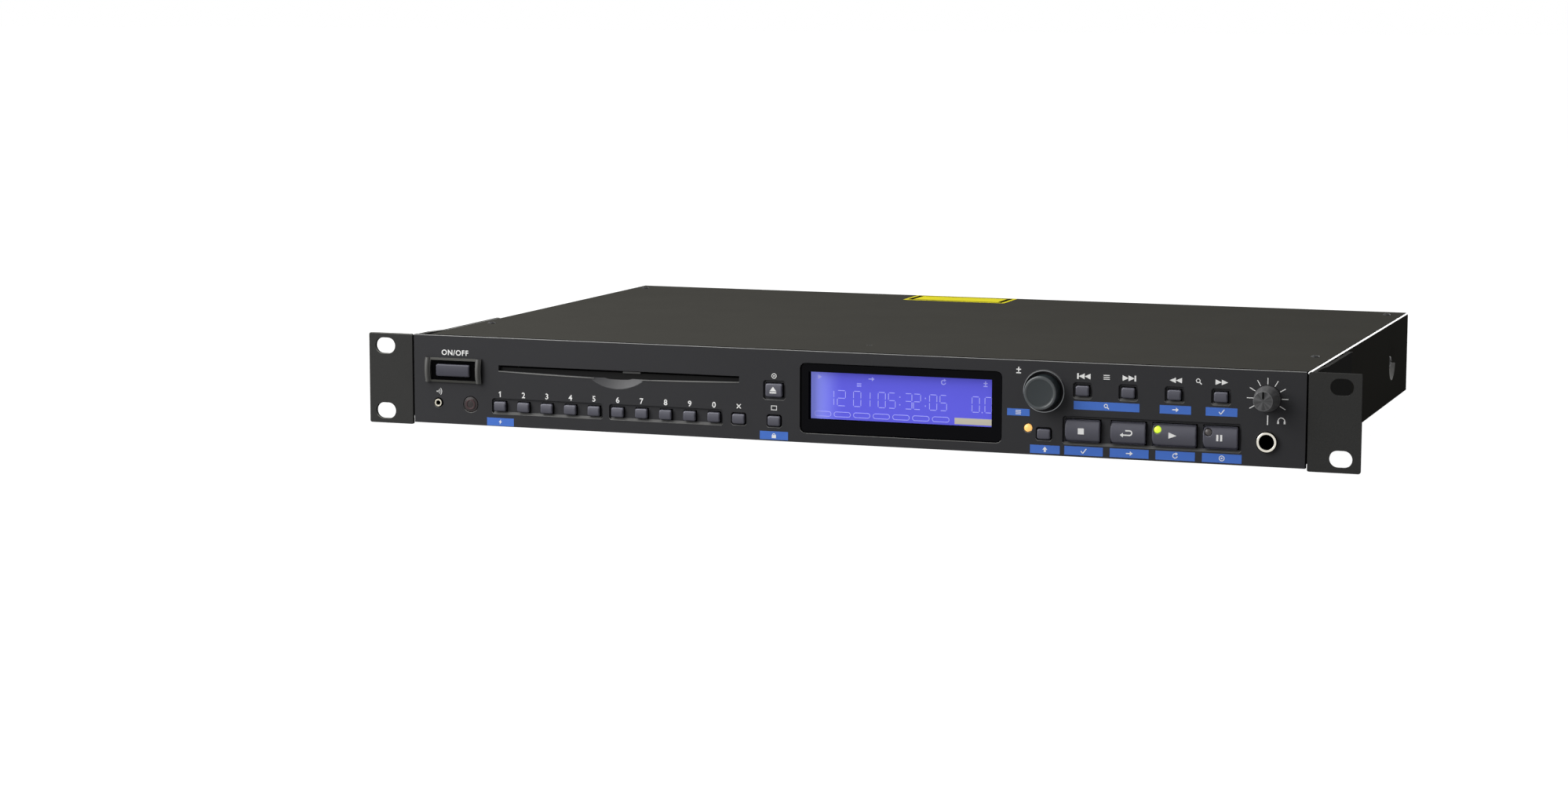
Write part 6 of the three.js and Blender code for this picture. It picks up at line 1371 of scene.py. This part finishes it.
@dataclass
class Print:
    """The white figures and signs and the blue tags, printed on the fascia and the keys."""

    bench: Bench
    first_digit_x: float = -171.3
    digit_pitch: float = 12.23
    digit_z: float = 16.7
    figure_height: float = 2.6
    switch_place: Triple = (-195.1, 35.8, 2.5)
    depths: Pair = (-0.05, 0.02)
    tag_sign_depths: Pair = (-0.1, 0)
    key_sign_depths: Pair = (-0.04, 0.08)
    tags: tuple[tuple[float, float, float, float, Sign], ...] = (
        (-178.4, -164.3, 1.4, 5.2, Sign.BOLT), (-38.3, -24.3, 1.7, 5.6, Sign.LOCK),
        (81.2, 91.7, 18.6, 21.8, Sign.MENU), (92.1, 106.0, 1.9, 5.7, Sign.RAISED),
        (108.1, 125.9, 1.9, 5.9, Sign.TICK), (129.1, 146.9, 1.9, 5.9, Sign.ARROW),
        (150.0, 167.9, 1.9, 5.9, Sign.LOOP), (171.1, 188.9, 1.9, 5.9, Sign.WHEEL),
        (112.2, 142.4, 22.7, 26.5, Sign.LENS), (151.6, 165.8, 22.7, 26.5, Sign.ARROW),
        (172.4, 186.6, 22.7, 26.5, Sign.TICK))
    tag_share: float = 0.66
    signs: tuple[tuple[Sign, float, float, float, int], ...] = (
        (Sign.SKIP, 116.7, 37.8, 1, -1), (Sign.SKIP, 137.6, 37.8, 1, 1),
        (Sign.SEARCH, 158.7, 37.8, 1, -1), (Sign.SEARCH, 179.4, 37.8, 1, 1),
        (Sign.MENU, 127.2, 37.8, 2.4, 1), (Sign.LENS, 169.1, 37.8, 2.8, 1),
        (Sign.WAVES, -203.5, 16.7, 2.3, 1), (Sign.CROSS, -48.8, 16.6, 2.5, 1),
        (Sign.HATCH, -31.3, 16.6, 2.2, 1), (Sign.WHEEL, -31.3, 31.6, 2.6, 1),
        (Sign.PLUS_MINUS, 86.4, 39.3, 2.8, 1), (Sign.HEADPHONES, 206.2, 22.0, 3.0, 1))
    jack_line: Quad = (200.1, 21.95, 0.45, 4.3)
    flag: Points = ((-0.72, 0.55), (0, 1.15))
    flag_thick: float = 0.4
    level: Pair = (199.9, 31.5)
    tick_radii: Pair = (6.3, 9.2)
    tick_count: int = 9
    tick_step: float = 30
    tick_thick: float = 0.34
    key_signs: tuple[tuple[str, Sign, float, float, float], ...] = (
        ("eject_key", Sign.EJECT, -31.4, 25.1, 1), ("stop_key", Sign.STOP, 116.0, 13.0, 1),
        ("call_key", Sign.BACK_ARROW, 137.1, 13.1, 2.9), ("play_key", Sign.PLAY, 157.9, 13.1, 1),
        ("pause_key", Sign.PAUSE, 179.0, 13.1, 1))

    def build(self) -> None:
        """Prints the figures, the signs and the tags."""
        bench, depths = self.bench, self.depths
        figures = [bench.lettering(f"figure_{place}", str((place + 1) % 10),
                                   self.first_digit_x + place * self.digit_pitch, self.digit_z,
                                   self.figure_height, depths) for place in range(10)]
        figures.append(bench.lettering("figure_power", "ON/OFF", *self.switch_place, depths))
        # The white ink carries a painted glow
        bench.finished(bench.join("key_figures", figures), WHITE_INK_PAINTED_GLOW)
        tags, on_tags = [], []
        for x0, x1, z0, z1, sign in self.tags:
            x, z = (x0 + x1) / 2, (z0 + z1) / 2
            tags.append(bench.plate("tag", (x, z, x1 - x0, z1 - z0), depths))
            on_tags += sign.at(x, z, self.tag_share * (z1 - z0))
        bench.finished(bench.join("blue_tags", tags), BLUE_INK)
        bench.finished(bench.sheet("panel_signs", self.panel_signs(), depths), WHITE_INK_PAINTED_GLOW)
        bench.finished(bench.sheet("tag_signs", on_tags, self.tag_sign_depths), WHITE_INK_PAINTED_GLOW)
        for node, sign, x, z, size in self.key_signs:
            front = bench.mm(Vector(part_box(node)[0])).y
            piece = bench.sheet(node + "_sign", sign.at(x, z, size),
                                shifted(self.key_sign_depths, front))
            bench.finished(piece, WHITE_INK_PAINTED_GLOW, node + "_body")

    def panel_signs(self) -> list[Outline]:
        """Gives the signs beside the controls, and the level knob's ticks."""
        made = [outline for sign, *place in self.signs for outline in sign.at(*place)]
        made += bar(*self.jack_line)
        made += stroke(tuple((self.first_digit_x + x, self.digit_z + z) for x, z in self.flag),
                       self.flag_thick)
        x, z = self.level
        for number in range(self.tick_count):
            angle = math.radians((number - (self.tick_count - 1) / 2) * self.tick_step)
            path = tuple((x + radius * math.sin(angle), z + radius * math.cos(angle))
                         for radius in self.tick_radii)
            made += stroke(path, self.tick_thick)
        return made


@dataclass
class Studio:
    """The camera, the lamps, the world and the floor."""

    bench: Bench
    lens: float = 72.2
    sensor: float = 36
    clip: Pair = (0.01, 50)
    azimuth: float = 19.90
    elevation: float = 7.23
    roll: float = 0.105
    place: Triple = (466.9, -1362.6, 207.9)
    surround: float = 0.2
    floor_width: float = 30
    floor_z: float = -0.0002
    floor_white: float = 1.29
    floor_share: float = 0.75
    floor_seen: str = "#f4f4f4"
    floor_unseen: str = "#686868"
    white: str = "#ffffff"
    lamps: tuple[tuple[str, Triple, Triple, float, float], ...] = (
        ("overhead", (-0.8, -0.3, 1.2), (0, 0, 0), 1.2, 15.5),
        ("front_left", (-1.0, -1.15, 0.62), (-0.05, -0.14, 0.02), 1.1, 16.0),
        ("rear_rim", (0.44, 1.5, 0.36), (0.2, 0, 0.04), 0.45, 2.5))

    def build(self) -> None:
        """Sets up the studio."""
        self.camera()
        self.world()
        self.floor()
        for lamp in self.lamps:
            self.lamp(*lamp)
        bpy.context.scene.view_settings.view_transform = "Standard"

    def camera(self) -> None:
        """Adds the camera at the photograph's place and angle."""
        data = bpy.data.cameras.new("camera")
        data.lens = self.lens
        data.sensor_width = self.sensor
        data.clip_start, data.clip_end = self.clip
        camera = bpy.data.objects.new("camera", data)
        bpy.context.scene.collection.objects.link(camera)
        a, e, roll = (math.radians(v) for v in (self.azimuth, self.elevation, self.roll))
        back = Vector((math.sin(a) * math.cos(e), -math.cos(a) * math.cos(e), math.sin(e)))
        right = Vector((math.cos(a), math.sin(a), 0))
        up = back.cross(right)
        across = right * math.cos(roll) + up * math.sin(roll)
        upward = up * math.cos(roll) - right * math.sin(roll)
        turn = Matrix((across, upward, back)).transposed().to_4x4()
        camera.matrix_world = Matrix.Translation(self.bench.at(*self.place)) @ turn
        bpy.context.scene.camera = camera

    @staticmethod
    def seen(tree: bpy.types.NodeTree, *rays: str) -> bpy.types.NodeSocket:
        """Gives one for the kinds of ray that see the surround, and nothing for the others.

        Args:
            tree: The node tree.
            rays: The kinds of ray.

        Returns:
            The socket that gives it.
        """
        path = add_node(tree, "LightPath").outputs
        found = path[rays[0]]
        for ray in rays[1:]:
            found = add_node(tree, "Math", {"0": found, "1": path[ray]},
                             operation="MAXIMUM").outputs[0]
        return found

    def world(self) -> None:
        """Makes a white surround with a softer level for the light that it casts."""
        world = bpy.data.worlds.new("studio")
        bpy.context.scene.world = world
        world.use_nodes = True
        tree = world.node_tree
        tree.nodes.clear()
        seen = self.seen(tree, "Is Camera Ray", "Is Glossy Ray", "Is Transmission Ray")
        soft, white = (add_node(tree, "Background", {"Color": linear(self.white),
                                                     "Strength": strength}).outputs[0]
                       for strength in (self.surround, 1.0))
        mixed = add_node(tree, "MixShader", {"0": seen, "1": soft, "2": white})
        add_node(tree, "OutputWorld", {"Surface": mixed.outputs[0]})

    def floor(self) -> None:
        """Adds the pale floor, which keeps a trace of the shadow."""
        self.bench.clear()
        bpy.ops.mesh.primitive_plane_add(size=self.floor_width, location=(0, 0, self.floor_z))
        floor = bpy.context.object
        floor.name = "floor"
        made = bpy.data.materials.new("pale_floor")
        made.use_nodes = True
        tree = made.node_tree
        tree.nodes.clear()
        seen = self.seen(tree, "Is Camera Ray", "Is Glossy Ray")
        share = add_node(tree, "Math", {"0": seen, "1": self.floor_share}, operation="MULTIPLY")
        tone = add_node(tree, "Mix", {"0": seen, "6": linear(self.floor_unseen),
                                      "7": linear(self.floor_seen)}, data_type="RGBA")
        matt = add_node(tree, "BsdfDiffuse", {"Color": tone.outputs[2]})
        white = add_node(tree, "Emission", {"Color": linear(self.white),
                                            "Strength": self.floor_white})
        mixed = add_node(tree, "MixShader", {"0": share.outputs[0], "1": matt.outputs[0],
                                             "2": white.outputs[0]})
        add_node(tree, "OutputMaterial", {"Surface": mixed.outputs[0]})
        floor.data.materials.append(made)

    def lamp(self, name: str, place: Triple, aim: Triple, size: float, power: float) -> None:
        """Adds a soft box.

        Args:
            name: The lamp's name.
            place: Its place in metres.
            aim: The point that it faces.
            size: Its side in metres.
            power: Its power in watts.
        """
        data = bpy.data.lights.new(name, "AREA")
        data.size = size
        data.energy = power
        lamp = bpy.data.objects.new(name, data)
        bpy.context.scene.collection.objects.link(lamp)
        lamp.location = place
        lamp.rotation_euler = (Vector(aim) - Vector(place)).to_track_quat("-Z", "Y").to_euler()


def dress_nodes(frame: dict) -> None:
    """Gives every node of the frame the finish of its material slot.
    """
    for row in frame["record"]["subparts"]:
        finish = SLOT_FINISHES[row["material_slot"]]
        for place in frame["nodes"][row["node"]].material_slots:
            place.material = finish.material()
        log.info("finished %s as %s", row["node"], finish.name)


def main() -> None:
    """Builds the player's looks and the studio round the frame."""
    logging.basicConfig(level=logging.INFO, format="%(name)s: %(message)s")
    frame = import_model()
    bench = Bench(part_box("left_rack_ear")[0].y)
    Studio(bench).build()
    dress_nodes(frame)
    Casing(bench).build()
    Controls(bench).build()
    Display(bench).build()
    Print(bench).build()


if __name__ == "__main__":
    main()
